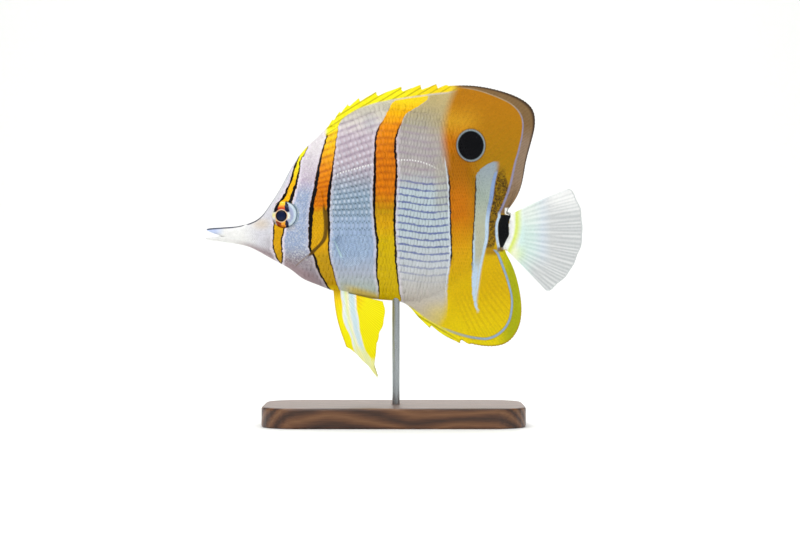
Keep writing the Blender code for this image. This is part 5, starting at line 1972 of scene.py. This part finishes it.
@dataclass
class ScaleCoat:
    """Overlapping scales over head, flanks and fin bases: small closed plates rooted in the skin."""

    form: FishForm
    along: int = 4
    across: int = 5
    thickness: float = 0.07
    patch: float = 0.003

    def rows_of(self, pitch: float, spacing: float, reach: tuple, follow_rows: bool) -> Lattice:
        """A staggered lattice in rows; Newton-like steps settle each scale's height on its own row.

        Args:
            pitch: Height from row to row.
            spacing: Distance from scale to scale in a row.
            reach: First and last station.
            follow_rows: Whether rows rise and sag as the fish's do, or lie level.

        Returns:
            Scales on the fish, headed backwards along their rows.
        """
        number = np.arange(math.floor(-48 / pitch), math.ceil(64 / pitch))[:, None]
        x = np.arange(reach[0], reach[1], spacing)[None, :] + spacing / 2 * (number % 2)
        z = number * pitch + 0 * x
        if follow_rows:
            for _ in range(20):
                z = number * pitch + self.form.row_rise(x, z)
        rise = self.form.row_rise(x + 0.2, z) - self.form.row_rise(x - 0.2, z)
        slope = rise / 0.4 if follow_rows else 0 * z
        u, v, on_fish = self.form.columns_at(x.ravel(), z.ravel())
        tall = 1.16 if follow_rows else 1.75
        long, wide = np.full(u.shape, spacing * 1.66), np.full(u.shape, pitch * tall)
        return Lattice(u, v, np.arctan(slope).ravel(), long, wide).where(on_fish)

    def flank(self, rear: bool) -> Lattice:
        """Rows of scales from the gill cover to the stalk: 1.75 mm apart in front of station 70, then 1.3 mm,
        and half as large over the eye spot.

        Args:
            rear: Whether behind station 70.

        Returns:
            The scales.
        """
        pitch = self.form.row_pitch
        if rear:
            made = Lattice.joined([self.rows_of(pitch, 1.3, (70.0, 98.0), True),
                                   self.rows_of(pitch / 2, 0.95, (98.0, 124.0), True)])
        else:
            made = self.rows_of(pitch, 1.75, (33.0, 70.0), True)
        outside, _ = self.form.fin_place(made.u, made.v)
        behind = made.u - self.form.gill(made.v)
        limit = np.where(made.u > 93, 0.7, 1.7)
        down = np.linalg.norm(self.form.side(made.u, made.v) - self.form.mid(made.u), axis=-1)
        over_fin = (made.v < 0.5) & (made.u > 84) & (down > self.form.reaches(made.u)[1] - 2.1)
        return made.where((behind > 0.3) & (outside < limit) & ~over_fin & (made.v > 0.012)
                          & (made.v < 0.992))

    def head(self) -> Lattice:
        """Small scales on cheek, gill cover and nape, smallest in front, none on eye or beak.

        Returns:
            The scales.
        """
        front = self.rows_of(0.6, 0.8, (15.0, 31.0), False)
        rear = self.rows_of(0.95, 1.2, (31.0, 49.0), False)
        made = Lattice.joined([front, rear])
        place = self.form.side(made.u, made.v)
        away = np.hypot(place[:, 0] - self.form.eye_centre[0], place[:, 1] - self.form.eye_centre[1])
        behind = made.u - self.form.gill(made.v)
        size = 0.55 + 0.45 * ease((made.u - 15) / 9)
        made = Lattice(made.u, made.v, made.heading, made.long * size, made.wide * size)
        return made.where((away > 6.6) & (behind < -0.7) & (made.v > 0.02) & (made.v < 0.985))

    def sheath(self, above: bool) -> Lattice:
        """Fine scales out over a fin, in courses that follow its root and head out along its rays.

        Args:
            above: Whether on the back or on the belly.

        Returns:
            The scales.
        """
        parts = []
        first = self.form.dorsal_origin + 4 if above else self.form.fan_start + 3
        for course, out in enumerate(np.arange(0.4 if above else -1.46, 30.0, 0.62)):
            u = np.linspace(first, self.form.stalk_end - 0.5, 500)
            margin = 1.0 if above else 0.0
            v = self.share_at(u, out, above)
            inside = (v - 0.5) * (1 if above else -1) < 0.5
            spiny = u < (self.form.spines_end if above else self.form.anal_spines_end)
            span = np.linalg.norm(self.form.side(u, v) - self.form.side(u, margin + 0 * u), axis=-1)
            inside &= span > np.where(spiny, 3.4 if above else 2.6, 2.2)
            if inside.sum() < 8:
                continue
            u, v = u[inside], v[inside]
            place = self.form.side(u, v)
            arc = np.concatenate([[0], np.cumsum(np.linalg.norm(np.diff(place, axis=0), axis=1))])
            at = np.arange(0.55 * (course % 2), arc[-1], 1.1)
            u, v = np.interp(at, arc, u), np.interp(at, arc, v)
            step = self.form.side(u, v + (0.002 if above else -0.002)) - self.form.side(u, v)
            heading = 0.75 * np.arctan2(step[:, 1], step[:, 0])
            size = np.full(u.shape, 1 - 0.3 * ease(out / 25))
            parts.append(Lattice(u, v, heading, size * 1.25, size * 1.3))
        return Lattice.joined(parts)

    def share_at(self, u: Array, out: float, above: bool) -> Array:
        """Shares at a distance outside the flesh, as the flesh's own share plus that of the fin's height.

        Args:
            u: Columns.
            out: Distance outside the flesh.
            above: Whether on the back or on the belly.

        Returns:
            Shares, one for each column.
        """
        v = np.linspace(0.5, 1.0 if above else 0.0, 120)[:, None]
        distance = np.linalg.norm(self.form.side(u[None, :], v) - self.form.mid(u)[None], axis=-1)
        reach = self.form.reaches(u)[0 if above else 1] + out
        passed = np.clip((distance < reach[None, :]).sum(axis=0), 1, len(v) - 1)
        index = np.arange(len(u))
        low, high = distance[passed - 1, index], distance[passed, index]
        share = np.clip((reach - low) / np.maximum(high - low, 1e-6), 0, 1.5)
        return v[passed - 1, 0] + (v[passed, 0] - v[passed - 1, 0]) * share

    def plates(self, name: str, lattice: Lattice, side: Side, shape: ScaleShape, finish: bpy.types.Material) -> bpy.types.Object:
        """Builds every scale of a lattice at once.

        A scale's outline narrows to its root and ends in a round rear edge; its face rises from under the
        skin at the root to its lift at the rear, and arches across.

        Args:
            name: Name of the piece.
            lattice: Places, headings and sizes.
            side: Side of the fish.
            shape: Heights and rear edge of this kind of scale.
            finish: Its material.

        Returns:
            The joined piece.
        """
        form, rng = self.form, np.random.default_rng(SEED)
        count = len(lattice.u)
        a = np.linspace(0, 1, self.along)[:, None]
        b = np.linspace(-1, 1, self.across)[None, :]
        round_end, square_end = 0.34 * b**2, 0.28 * b**4
        reach = a * (1 - (round_end + (square_end - round_end) * shape.square) * a)
        bowed = 0.62 + 0.38 * np.sin(np.pi * np.minimum(a * 0.85 + 0.1, 1))
        straight = 0.72 + 0.28 * ease(a / 0.4)
        breadth = b * (bowed + (straight - bowed) * shape.square)
        top = -0.10 + (shape.lift + 0.10) * a**0.85 - shape.arch * b**2 * (0.4 + 0.6 * a)
        jitter = rng.uniform(-1, 1, (count, 3))
        turn = lattice.heading + 0.06 * jitter[:, 0]
        long = lattice.long * (1 + 0.06 * jitter[:, 1])
        wide = lattice.wide / 2 * (1 + 0.05 * jitter[:, 2])
        ahead = (reach - 0.35)[None] * long[:, None, None]
        across = breadth[None] * wide[:, None, None]
        cos, sin = np.cos(turn)[:, None, None], np.sin(turn)[:, None, None]
        offset = np.stack([ahead * cos - across * sin, ahead * sin + across * cos], axis=-1)
        steps = form.steps(lattice.u[:, None, None], lattice.v[:, None, None], offset)
        u = np.clip(lattice.u[:, None, None] + steps[..., 0], 7, form.stalk_end + 3)
        v = np.clip(lattice.v[:, None, None] + steps[..., 1], 0.0005, 0.9995)
        base = form.points(u, v, side)
        past = np.clip(u - form.stalk_end, 0, None)
        base[..., 0] += past
        normal = self.normals(lattice, side)[:, None, None, :]
        size = np.clip(lattice.long / 2.5, 0.45, 1.0)[:, None, None, None]
        face = base + normal * top[None, ..., None] * size
        under = face - normal * self.thickness * size
        ring = border(self.along, self.across)
        points = np.concatenate([face.reshape(count, -1, 3), under.reshape(count, -1, 3)[:, ring]], axis=1)
        quads, floor = self.plate_faces(ring)
        if side is Side.RIGHT:
            quads, floor = quads[:, ::-1], floor[:, ::-1]
        per_plate = points.shape[1]
        starts = np.arange(count)[:, None, None] * per_plate
        stacks = [(quads[None] + starts).reshape(-1, 4), (floor[None] + starts).reshape(-1, floor.shape[1])]
        flat = points.reshape(-1, 3)
        mesh = raw_mesh(name, flat, stacks)
        set_attribute(mesh, "row", form.row_phase(flat[:, 0], flat[:, 2]))
        set_attribute(mesh, "jag", np.repeat(rng.uniform(-1, 1, count), per_plate))
        set_attribute(mesh, "tint", np.repeat(rng.uniform(-1, 1, count), per_plate))
        _, share = form.fin_place(u, v)
        own = {"outer": share, "ray": form.rays(u, v, share) * ease(share / 0.25),
               "crease": form.crease(u, v),
               "tip": np.broadcast_to(reach, u.shape), "rim": np.broadcast_to(b**2, u.shape)}
        for label, values in own.items():
            values = values.reshape(count, -1)
            set_attribute(mesh, label, np.concatenate([values, values[:, ring]], axis=1).ravel())
        local = np.stack([np.broadcast_to(a - 0.5, reach.shape), np.broadcast_to(b / 2, reach.shape)],
                         axis=-1)
        local = local.reshape(-1, 2)
        local = np.concatenate([local, local[ring]]) * self.patch
        home = np.stack([lattice.u / 130 * 0.48 + (0.51 if side is Side.RIGHT else 0.01),
                         lattice.v * 0.96 + 0.02], axis=-1)
        patches = (home[:, None, :] + local[None]).reshape(-1, 2)
        loops = np.concatenate([stack.ravel() for stack in stacks])
        mesh.uv_layers.new(name="OFBake").data.foreach_set("uv", patches[loops].astype(np.float32).ravel())
        return add_piece(mesh, finish)

    def plate_faces(self, ring: Array) -> tuple[Array, Array]:
        """Quads of a plate's face and walls, and the one polygon under it.

        Args:
            ring: Numbers of the border's vertices.

        Returns:
            The quads, and the polygon.
        """
        top = grid_faces(self.along, self.across)
        low = np.arange(len(ring)) + self.along * self.across
        walls = np.stack([ring, np.roll(ring, -1), np.roll(low, -1), low], axis=-1)
        return np.concatenate([top, walls[:, ::-1]]), low[None, :]

    def normals(self, lattice: Lattice, side: Side) -> Array:
        """Outward direction of the skin at each root, from its slopes along two steps.

        Args:
            lattice: Where the scales root.
            side: Side of the fish.

        Returns:
            Directions of length 1.
        """
        u, v = lattice.u, np.clip(lattice.v, 0.003, 0.997)
        along = self.form.points(u + 0.25, v, side) - self.form.points(u - 0.25, v, side)
        up = self.form.points(u, v + 0.003, side) - self.form.points(u, v - 0.003, side)
        normal = np.cross(along, up)
        normal = normal / np.linalg.norm(normal, axis=-1, keepdims=True)
        return normal * np.sign(normal[:, 1:2] * side.value + 1e-9)

    def build(self, finish: bpy.types.Material) -> None:
        """Dresses both sides.

        Args:
            finish: Material of its pieces.
        """
        flank, rear = ScaleShape(0.08, 0.09, 1.0), ScaleShape(0.05, 0.05, 1.0)
        small, sheath = ScaleShape(0.10, 0.035, 0.0), ScaleShape(0.06, 0.02, 0.0)
        coats = (("flank_scales", self.flank(False), flank, "banded_skin"),
                 ("rear_scales", self.flank(True), rear, "banded_skin"),
                 ("head_scales", self.head(), small, "pearl_skin"),
                 ("dorsal_sheath_scales", self.sheath(True), sheath, "banded_skin"),
                 ("anal_sheath_scales", self.sheath(False), sheath, "yellow_fin"))
        for name, lattice, shape, slot in coats:
            for side in Side:
                self.plates(f"{name}_{side.name.lower()}", lattice, side, shape, finish)


def add_sheet(name: str, place: Array, middle: Array, half: Array, marks: dict[str, Array],
              finish: bpy.types.Material, node: str) -> None:
    """Adds a closed sheet: matching grids either side of a middle surface, walled along all four borders.

    Args:
        name: Name of the piece.
        place: Places behind the tip and above the axis, in a grid.
        middle: Distance of the middle surface to the fish's right.
        half: Half thickness.
        marks: What the paint reads, by attribute.
        finish: Its material.
        node: Solid that it stands for.
    """
    rows, columns = place.shape[:2]
    faces = [np.stack(np.broadcast_arrays(place[..., 0], middle + way * half, place[..., 1]), axis=-1)
             for way in (-1, 1)]
    ring = border(rows, columns)
    walls = np.stack([ring, np.roll(ring, -1), np.roll(ring, -1) + rows * columns, ring + rows * columns],
                     axis=-1)
    quads = [grid_faces(rows, columns), grid_faces(rows, columns, rows * columns, True), walls[:, ::-1]]
    mesh = raw_mesh(name, np.concatenate(faces).reshape(-1, 3), [np.concatenate(quads)])
    for label, values in marks.items():
        set_attribute(mesh, label, np.tile(np.broadcast_to(values, (rows, columns)).ravel(), 2))
    turn_outwards(mesh)
    add_piece(mesh, finish, (node,))


def ray_ridges(share: Array, count: int, power: float) -> Array:
    """Ridges from 0 to 1 across a fin: a cosine of the ray count, raised to a power."""
    return (0.5 + 0.5 * np.cos(2 * np.pi * share * count)) ** power


@dataclass
class FinSpines:
    """The hard spines of dorsal and anal fins: tapered round rods that lean back in the web."""

    form: FishForm
    radius: float = 0.42
    sides: int = 10
    rings: int = 12
    set_back: float = 1.4

    def build(self, name: str, spines: SpineRow, depth: float, finish: bpy.types.Material) -> None:
        """One joined piece: each spine is a circle swept up a leaning line.

        Its radius shrinks as the root of the length that is left.

        Args:
            name: Name of the piece.
            spines: The row of spines and the margin they stand in.
            depth: How far the spines' feet lie inside the margin.
            finish: Its material.
        """
        number = np.arange(spines.count)
        line = spines.margin.line[:int(np.argmax(spines.margin.line[:, 0]))]
        tip_x, foot_x = spines.station(number + spines.tip), spines.station(number + 0.05) - self.set_back
        tip_z, foot_z = (np.interp(x, line[:, 0], line[:, 1]) for x in (tip_x, foot_x))
        tip = np.stack([tip_x, tip_z], axis=-1) + spines.offsets(tip_x - 1e-6) * 1.12
        foot = np.stack([foot_x, foot_z - spines.upward * depth], axis=-1)
        t = np.linspace(0, 1, self.rings)[None, :, None]
        bow = np.array([0.0, 0.5 * spines.upward]) * np.sin(np.pi * t)
        centre = foot[:, None] + (tip - foot)[:, None] * t + bow
        heading = np.gradient(centre, axis=1)
        heading = heading / np.linalg.norm(heading, axis=-1, keepdims=True)
        radius = self.radius * np.sqrt(np.clip(1 - t**3, 0, 1)) * (0.75 + 0.25 * (1 - t))
        angle = np.linspace(0, 2 * np.pi, self.sides, endpoint=False)[None, None, :]
        across, flat = radius * np.cos(angle), radius * np.sin(angle)
        x = centre[..., 0:1] - heading[..., 1:2] * flat
        z = centre[..., 1:2] + heading[..., 0:1] * flat
        points = np.stack(np.broadcast_arrays(x, across, z), axis=-1).reshape(-1, 3)
        starts = number[:, None, None] * self.rings * self.sides
        index = np.arange(self.rings * self.sides).reshape(self.rings, self.sides)
        quads = grid_faces(self.rings, self.sides, closed=True)[None] + starts
        caps = np.stack([index[0], index[-1, ::-1]])[None] + starts
        mesh = raw_mesh(name, points, [quads.reshape(-1, 4), caps.reshape(-1, self.sides)])
        turn_outwards(mesh, COINCIDE)
        add_piece(mesh, finish)


@dataclass
class TailFin:
    """The tail fin: curved, branched rays under a thin web, swung a little to the left."""

    root: tuple[float, float] = (120.6, 0.9)
    root_half_height: float = 6.9
    radius: float = 30.0
    up_deg: float = 34.5
    down_deg: float = 57.0
    swing: float = 1.6
    rays: int = 15
    angles: int = 300
    steps: int = 64

    def build(self, finish: bpy.types.Material) -> None:
        """A grid of angle by reach; each ray line is a curve from the stalk through a bend to the margin.

        Args:
            finish: Material of its pieces.
        """
        share = np.linspace(0, 1, self.angles)[:, None]
        angle = np.radians(-self.down_deg + (self.up_deg + self.down_deg) * share)
        along = spread(0, 1, self.steps, 0.35)[None, :]
        ray = self.ray_height(share, along)
        root_z = self.root_half_height * np.sin(angle * 90 / 55 * 0.9)
        root = np.stack([-0.3 - 0.4 * np.abs(root_z) / 7, root_z], axis=-1)
        near = root + 0.5 * self.radius * np.stack([np.cos(angle * 0.8), np.sin(angle * 0.8)], axis=-1)
        edge = np.minimum(share, 1 - share) * 60
        corner = 1.5 * (1 - np.sqrt(1 - np.clip(1 - edge / 3.2, 0, 1) ** 2))
        waves = 0.12 * np.sin(share * 41) + 0.14 * np.sin(share * 23 + 2)
        uneven = 0.1 * (ray[:, -1:] - 1.0) + waves - corner
        reach = self.radius + 1.0 * np.sin(angle + 0.35) + uneven
        tip = np.stack([reach * np.cos(angle), reach * np.sin(angle)], axis=-1)
        t = along[..., None]
        place = root * (1 - t) ** 2 + near * 2 * t * (1 - t) + tip * t**2 + np.array(self.root)
        body = 1.75 * (1 - along) ** 2.4 * np.cos(angle)
        thin = np.sqrt(np.clip(1 - np.clip(1 - edge / 0.5, 0, 1) ** 2, 0.04, 1))
        half = np.maximum(body, (0.07 + 0.11 * ray * (1 - 0.55 * along)) * thin)
        sway = -self.swing * along**2 + 0.35 * np.sin(angle * 3) * along
        solid = ease((0.28 - along) / 0.25) + 0.6 * swell(edge, 0.9)
        marks = {"ray": ray, "body": solid, "along": along, "tail": np.ones_like(along)}
        add_sheet("tail_fin", place, sway, half, marks, finish, "caudal_fin")

    def ray_height(self, share: Array, along: Array) -> Array:
        """Ridges from 0 to 1 of uneven strength, which double past half way.

        Args:
            share: Shares across the fin.
            along: Shares along the rays.

        Returns:
            Heights of the rays.
        """
        wander = share + 0.12 * np.sin(share * 29) / self.rays
        single, double = (ray_ridges(wander, self.rays * n, 1.2) for n in (1, 2))
        branched = ease((along - 0.5) / 0.3)
        return (single * (1 - branched) + double * branched) * (0.75 + 0.25 * np.sin(share * 53 + 3 * along))


@dataclass
class PectoralFins:
    """Clear rounded fans behind the gill covers, with fine white rays."""

    form: FishForm
    root: tuple[float, float] = (51.4, -1.9)
    length: float = 15.2
    fan_deg: tuple[float, float] = (-70.0, 6.0)
    flare_deg: float = 16.0
    root_half: float = 1.1
    rays: int = 14
    sunk: float = 0.45

    def build(self, finish: bpy.types.Material) -> None:
        """A grid of angle by reach on each side, leaning out from the flank on a shallow parabola.

        Args:
            finish: Material of its pieces.
        """
        share = np.linspace(0, 1, 220)[:, None]
        angle = np.radians(self.fan_deg[0] + (self.fan_deg[1] - self.fan_deg[0]) * share)
        along = spread(0, 1, 40)[None, :]
        bulge = 1 - 0.2 * (2 * share - 1) ** 2
        single, double = (ray_ridges(share, self.rays * n, 1.6) for n in (1, 2))
        branch = ease((along - 0.5) / 0.25)
        ray = single * (1 - branch) + double * branch
        uneven = 0.2 * (ray[:, -1:] - 1)
        reach = self.root_half + (self.length * bulge + uneven - self.root_half) * along
        place = np.stack([reach * np.cos(angle), reach * np.sin(angle)], axis=-1) + np.array(self.root)
        flank = float(self.form.half_width(self.root[0], self.form.share_of(*self.root)))
        out = flank - self.sunk + reach * math.tan(math.radians(self.flare_deg)) - 0.006 * reach**2
        half = 0.05 + 0.07 * ray * (1 - 0.4 * along) + 0.45 * (1 - along) ** 6
        # The front mark places the painted cyan sheen, and makes the web there less clear.
        front = swell(share - 0.05, 0.06) * (1 - ease((along - 0.55) / 0.2))
        marks = {"ray": ray, "body": 0.6 * ease((0.16 - along) / 0.14) + 0.45 * front, "front": front}
        for side in Side:
            word = side.name.lower()
            add_sheet(f"pectoral_{word}", place, side.value * (out + 0.15 * ray), half, marks, finish,
                      f"pectoral_fin_{word}")


@dataclass
class PelvicFins:
    """The pelvic fins: a stout front spine, a drawn out first ray and a rounded yellow rear lobe."""

    root: tuple[float, float] = (51.4, -22.6)
    root_run: tuple[float, float] = (6.0, -1.4)
    splay_deg: float = 8.5
    offset: float = 1.1
    bow: float = 1.1
    inlet: float = 1.2
    ray_rows: Rows = ((0.0, -77.0, 23.4), (0.08, -75.2, 24.2), (0.16, -71.5, 27.2), (0.23, -67.2, 32.4),
                      (0.27, -65.0, 38.8), (0.31, -64.2, 33.4), (0.38, -62.0, 30.6), (0.5, -55.5, 25.4),
                      (0.63, -48.6, 22.2), (0.82, -33.0, 18.6), (1.0, -14.0, 14.4))
    rays: int = 12
    steps: int = 56

    def build(self, finish: bpy.types.Material) -> None:
        """A grid of root share by reach: straight rays between the listed ones, bowed forward near the spine.

        Args:
            finish: Material of its pieces.
        """
        share = np.linspace(0, 1, 230)[:, None]
        listed = np.array(self.ray_rows)
        angle = np.radians(np.interp(share, listed[:, 0], listed[:, 1]))
        length = np.interp(share, listed[:, 0], listed[:, 2])
        along = np.concatenate([[0], spread(0, 1, self.steps)])[None, :]
        inlet = np.concatenate([[self.inlet], np.zeros(self.steps)])[None, :]
        single, fine = ray_ridges(share, self.rays, 1.5), ray_ridges(share, self.rays * 3, 1.2)
        branch = ease((along - 0.3) / 0.3)
        ray = single * (1 - branch) + fine * branch
        uneven = 0.16 * (ray[:, -1:] - 1) * ease((share - 0.3) / 0.1) + 0.15 * np.sin(share * 37)
        reach = (length + uneven - 0.1) * along
        root = np.array(self.root) + np.array(self.root_run) * share[..., None]
        heading = np.stack([np.cos(angle), np.sin(angle)], axis=-1)
        across = np.stack([-np.sin(angle), np.cos(angle)], axis=-1)
        bow = self.bow * np.sin(np.pi * along) * (1 - share)
        place = root + heading * reach[..., None] - across * bow[..., None]
        place = place + np.stack([0 * inlet, inlet], axis=-1)
        out = self.offset + (reach - inlet) * math.tan(math.radians(self.splay_deg)) + 0.3 * share
        spine = swell(share - 0.03, 0.04) * np.sqrt(np.clip(1 - along**3, 0, 1))
        half = 0.06 + 0.06 * ray * (1 - 0.5 * along) + 0.42 * spine + 0.35 * (1 - along) ** 8
        marks = {"ray": ray, "body": 0 * ray, "along": along, "across": share}
        for side in Side:
            word = side.name.lower()
            middle = side.value * (out + 0.12 * ray * (1 - along))
            add_sheet(f"pelvic_{word}", place, middle, half, marks, finish,
                      f"pelvic_fin_{word}")


@dataclass
class Eyes:
    """Eyeballs with a set-in pupil and iris under a glossy clear coat, each in a thin fold of skin."""

    form: FishForm
    radius: float = 5.52
    depth: float = 3.4
    inset: float = 2.0
    turn_deg: float = 12.0
    pupil: float = 2.3
    pole: float = 0.02
    fold_section: Rows = ((6.7, -0.12), (6.3, 0.0), (5.95, 0.1), (5.72, 0.15), (5.54, 0.12), (5.42, 0.0),
                          (5.36, -0.25), (5.34, -0.7), (5.38, -1.3), (5.6, -1.4), (6.1, -0.9), (6.6, -0.4))

    def frame(self, side: Side) -> tuple[Array, Array]:
        """Centre of an eye and its axes (ahead, up, outwards) as rows, in fish millimetres.

        Args:
            side: Side of the fish.

        Returns:
            The centre, and the axes.
        """
        x, z = self.form.eye_centre
        width = float(self.form.half_width(x, self.form.share_of(x, z)))
        turn = math.radians(self.turn_deg)
        ahead = np.array([math.cos(turn), side.value * math.sin(turn), 0])
        out = np.array([-math.sin(turn), side.value * math.cos(turn), 0])
        centre = np.array([x, side.value * (width + self.form.coat_depth - self.inset), z])
        return centre, np.stack([ahead, np.array([0.0, 0.0, 1.0]), out])

    def dome(self, away: Array) -> Array:
        """Height of the eyeball over its middle plane: a flattened sphere."""
        return self.depth * np.sqrt(np.clip(1 - (away / self.radius) ** 2, 0, 1))

    def ball(self, name: str, side: Side) -> bpy.types.Mesh:
        """An eyeball: a profile turned about the eye's axis, whose inner rings are centred on the pupil.

        The pupil lies flat behind the iris, whose lip is a bell and whose inner slope is a smooth step.

        Args:
            name: Name that it gets.
            side: Side of the fish.

        Returns:
            The mesh.
        """
        ring = np.concatenate([np.linspace(self.pole, self.pupil, 10),
                               np.linspace(self.pupil + 0.03, self.pupil + 0.35, 4),
                               np.linspace(self.pupil + 0.5, self.radius - self.pole, 22)])
        lip = 0.16 * swell(ring - self.pupil - 0.2, 0.16)
        slope = -0.28 * (1 - ease((ring - self.pupil - 0.3) / 1.3))
        front = self.dome(ring) + np.where(ring <= self.pupil, -0.32, lip + slope - 0.12)
        back_ring = np.linspace(self.radius - self.pole, self.pole, 14)
        radii = np.concatenate([ring, back_ring])[:, None]
        heights = np.concatenate([front, -0.8 * self.dome(back_ring)])[:, None]
        angle = np.linspace(0, 2 * np.pi, 97)[None, :-1]
        pull = 1 - ease((radii - self.pupil) / (self.radius - self.pupil))
        shift = IrisFinish.pupil_centre
        a, b = radii * np.cos(angle) + shift[0] * pull, radii * np.sin(angle) + shift[1] * pull
        local = np.stack([a, b, heights + 0 * a], axis=-1)
        centre, axes = self.frame(side)
        index = np.arange(a.size).reshape(a.shape)
        faces = [grid_faces(*a.shape, closed=True), index[:1], index[-1:, ::-1]]
        mesh = raw_mesh(name, (centre + local @ axes).reshape(-1, 3), faces)
        set_attribute(mesh, "eye_place", local.reshape(-1, 3))
        turn_outwards(mesh, COINCIDE)
        return mesh

    def fold(self, name: str, side: Side) -> bpy.types.Mesh:
        """A thin fold round the orbit.

        Its section runs from just under the skin outside, over a low round lip, and down inside to the ball;
        a lower face under it closes the ring.

        Args:
            name: Name that it gets.
            side: Side of the fish.

        Returns:
            The mesh.
        """
        radii, heights = np.array(self.fold_section + self.fold_section[:1]).T[..., None]
        angle = np.linspace(0, 2 * np.pi, 121)[None, :-1]
        x = self.form.eye_centre[0] + radii * np.cos(angle) * 0.985
        z = self.form.eye_centre[1] + radii * np.sin(angle)
        share = self.form.share_of(x, z)
        width = self.form.half_width(x, share) + self.form.relief(x, share) + heights
        points = np.stack([x, side.value * width, z], axis=-1).reshape(-1, 3)
        mesh = raw_mesh(name, points, [grid_faces(*x.shape, closed=True)])
        set_attribute(mesh, "row", np.zeros(x.size))
        turn_outwards(mesh, COINCIDE)
        return mesh

    def build(self, iris: bpy.types.Material, skin: bpy.types.Material) -> None:
        """Ball and fold on both sides.

        Args:
            iris: The balls' material.
            skin: The folds' material.
        """
        for side in Side:
            word = side.name.lower()
            add_piece(self.ball(f"eyeball_{word}", side), iris, (f"eye_{word}",))
            add_piece(self.fold(f"eye_fold_{word}", side), skin)


@dataclass
class Stand:
    """The walnut base and the steel rod, kept from the solids with finishes of their own."""

    finishes: tuple[tuple[str, Finish], ...] = (("stand_base", WalnutFinish()), ("stand_rod", SteelFinish()))

    def dress(self) -> None:
        """Puts each node's finish on it."""
        for node, finish in self.finishes:
            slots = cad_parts[node].data.materials
            slots.clear()
            slots.append(finish.material())
            LOG.info("%s: %s", node, finish.name)


@dataclass
class Studio:
    """Pale sweep, soft light and a level camera at the photograph's framing."""

    view_centre: tuple[float, float] = (2.5, 63.0)
    distance: float = 889.0
    lens: float = 100.0
    sensor: float = 36.0
    world_strength: float = 0.2
    floor_half: float = 3.0
    floor_front: float = -2.2
    floor_back: float = 0.9
    turn_radius: float = 0.5
    wall_top: float = 3.0

    def build(self) -> None:
        """Adds sweep, lights, world and camera."""
        self.sweep()
        self.light("key", (-220, -430, 520), 500, 2.6)
        self.light("fill", (330, -460, 330), 500, 0.9)
        self.light("rear", (60, 420, 420), 420, 1.0)
        self.light("wall", (0, 500, 1500), 1200, 21.0, (0, 1400, 200))
        world = bpy.data.worlds.new("studio")
        world.use_nodes = True
        background = world.node_tree.nodes["Background"].inputs
        background[0].default_value = (1, 1, 1, 1)
        background[1].default_value = self.world_strength
        bpy.context.scene.world = world
        data = bpy.data.cameras.new("camera")
        data.lens = self.lens
        data.sensor_width = self.sensor
        data.clip_start = 0.01
        camera = bpy.data.objects.new("camera", data)
        x, z = self.view_centre
        camera.location = (x * MM, -self.distance * MM, z * MM)
        camera.rotation_euler = (math.radians(90), 0, 0)
        bpy.context.scene.collection.objects.link(camera)
        bpy.context.scene.camera = camera
        bpy.context.scene.view_settings.view_transform = "Standard"

    def light(self, name: str, place: tuple, size: float, power: float,
              aim: tuple = (0, 0, AXIS_HEIGHT)) -> None:
        """A square soft box that faces its aim, with sizes in millimetres and power in watts.

        Args:
            name: Name that it gets.
            place: Where it stands.
            size: Length of its edges.
            power: Its power.
            aim: What it faces.
        """
        data = bpy.data.lights.new(name, "AREA")
        data.size = size * MM
        data.energy = power
        made = bpy.data.objects.new(name, data)
        made.location = [p * MM for p in place]
        towards = Vector(aim) * MM - made.location
        made.rotation_euler = towards.to_track_quat("-Z", "Y").to_euler()
        bpy.context.scene.collection.objects.link(made)

    def sweep(self) -> None:
        """A floor that turns up behind the fish in a quarter circle and runs on as a wall, in metres."""
        turn = np.linspace(0, math.pi / 2, 24)
        bend = np.stack([self.floor_back + self.turn_radius * np.sin(turn),
                         self.turn_radius * (1 - np.cos(turn))], -1)
        profile = np.concatenate([[[self.floor_front, 0]], bend, [[bend[-1, 0], self.wall_top]]])
        points = np.concatenate([np.insert(profile, 0, x, axis=1)
                                 for x in (-self.floor_half, self.floor_half)])
        index = np.arange(len(profile) - 1)
        far = index + len(profile)
        mesh = bpy.data.meshes.new("sweep")
        mesh.from_pydata(points.tolist(), [], np.stack([index, far, far + 1, index + 1], axis=-1).tolist())
        mesh.shade_smooth()
        mesh.materials.append(PaperFinish().material())
        floor = bpy.data.objects.new("sweep", mesh)
        bpy.context.scene.collection.objects.link(floor)


def main() -> None:
    """Builds every piece in order, from the skin out to the studio."""
    logging.basicConfig(level=logging.INFO, format="%(name)s %(message)s")
    form = FishForm()
    markings = MarkingPaint().tree
    skin = FishSkin("satin lacquered fish skin", 0.02, markings, 0.42, 0.1, 0.45).material()
    scales = FishSkin("satin lacquered scales", 0.012, markings, 0.36, 0.2, 0.3).material()
    yellow = FishSkin("satin lacquered spines", 0.01, markings, 0.38, 0.2, 0.4).material()
    Skin(form).build(skin)
    ScaleCoat(form).build(scales)
    spines = FinSpines(form)
    spines.build("dorsal_spines", form.dorsal_spines, 3.2, yellow)
    spines.build("anal_spines", form.anal_spines, 2.4, yellow)
    TailFin().build(TailWeb(markings=markings).material())
    PectoralFins(form).build(PectoralWeb().material())
    PelvicFins().build(PelvicWeb().material())
    Eyes(form).build(IrisFinish().material(), skin)
    Stand().dress()
    Studio().build()


if __name__ == "__main__":
    main()
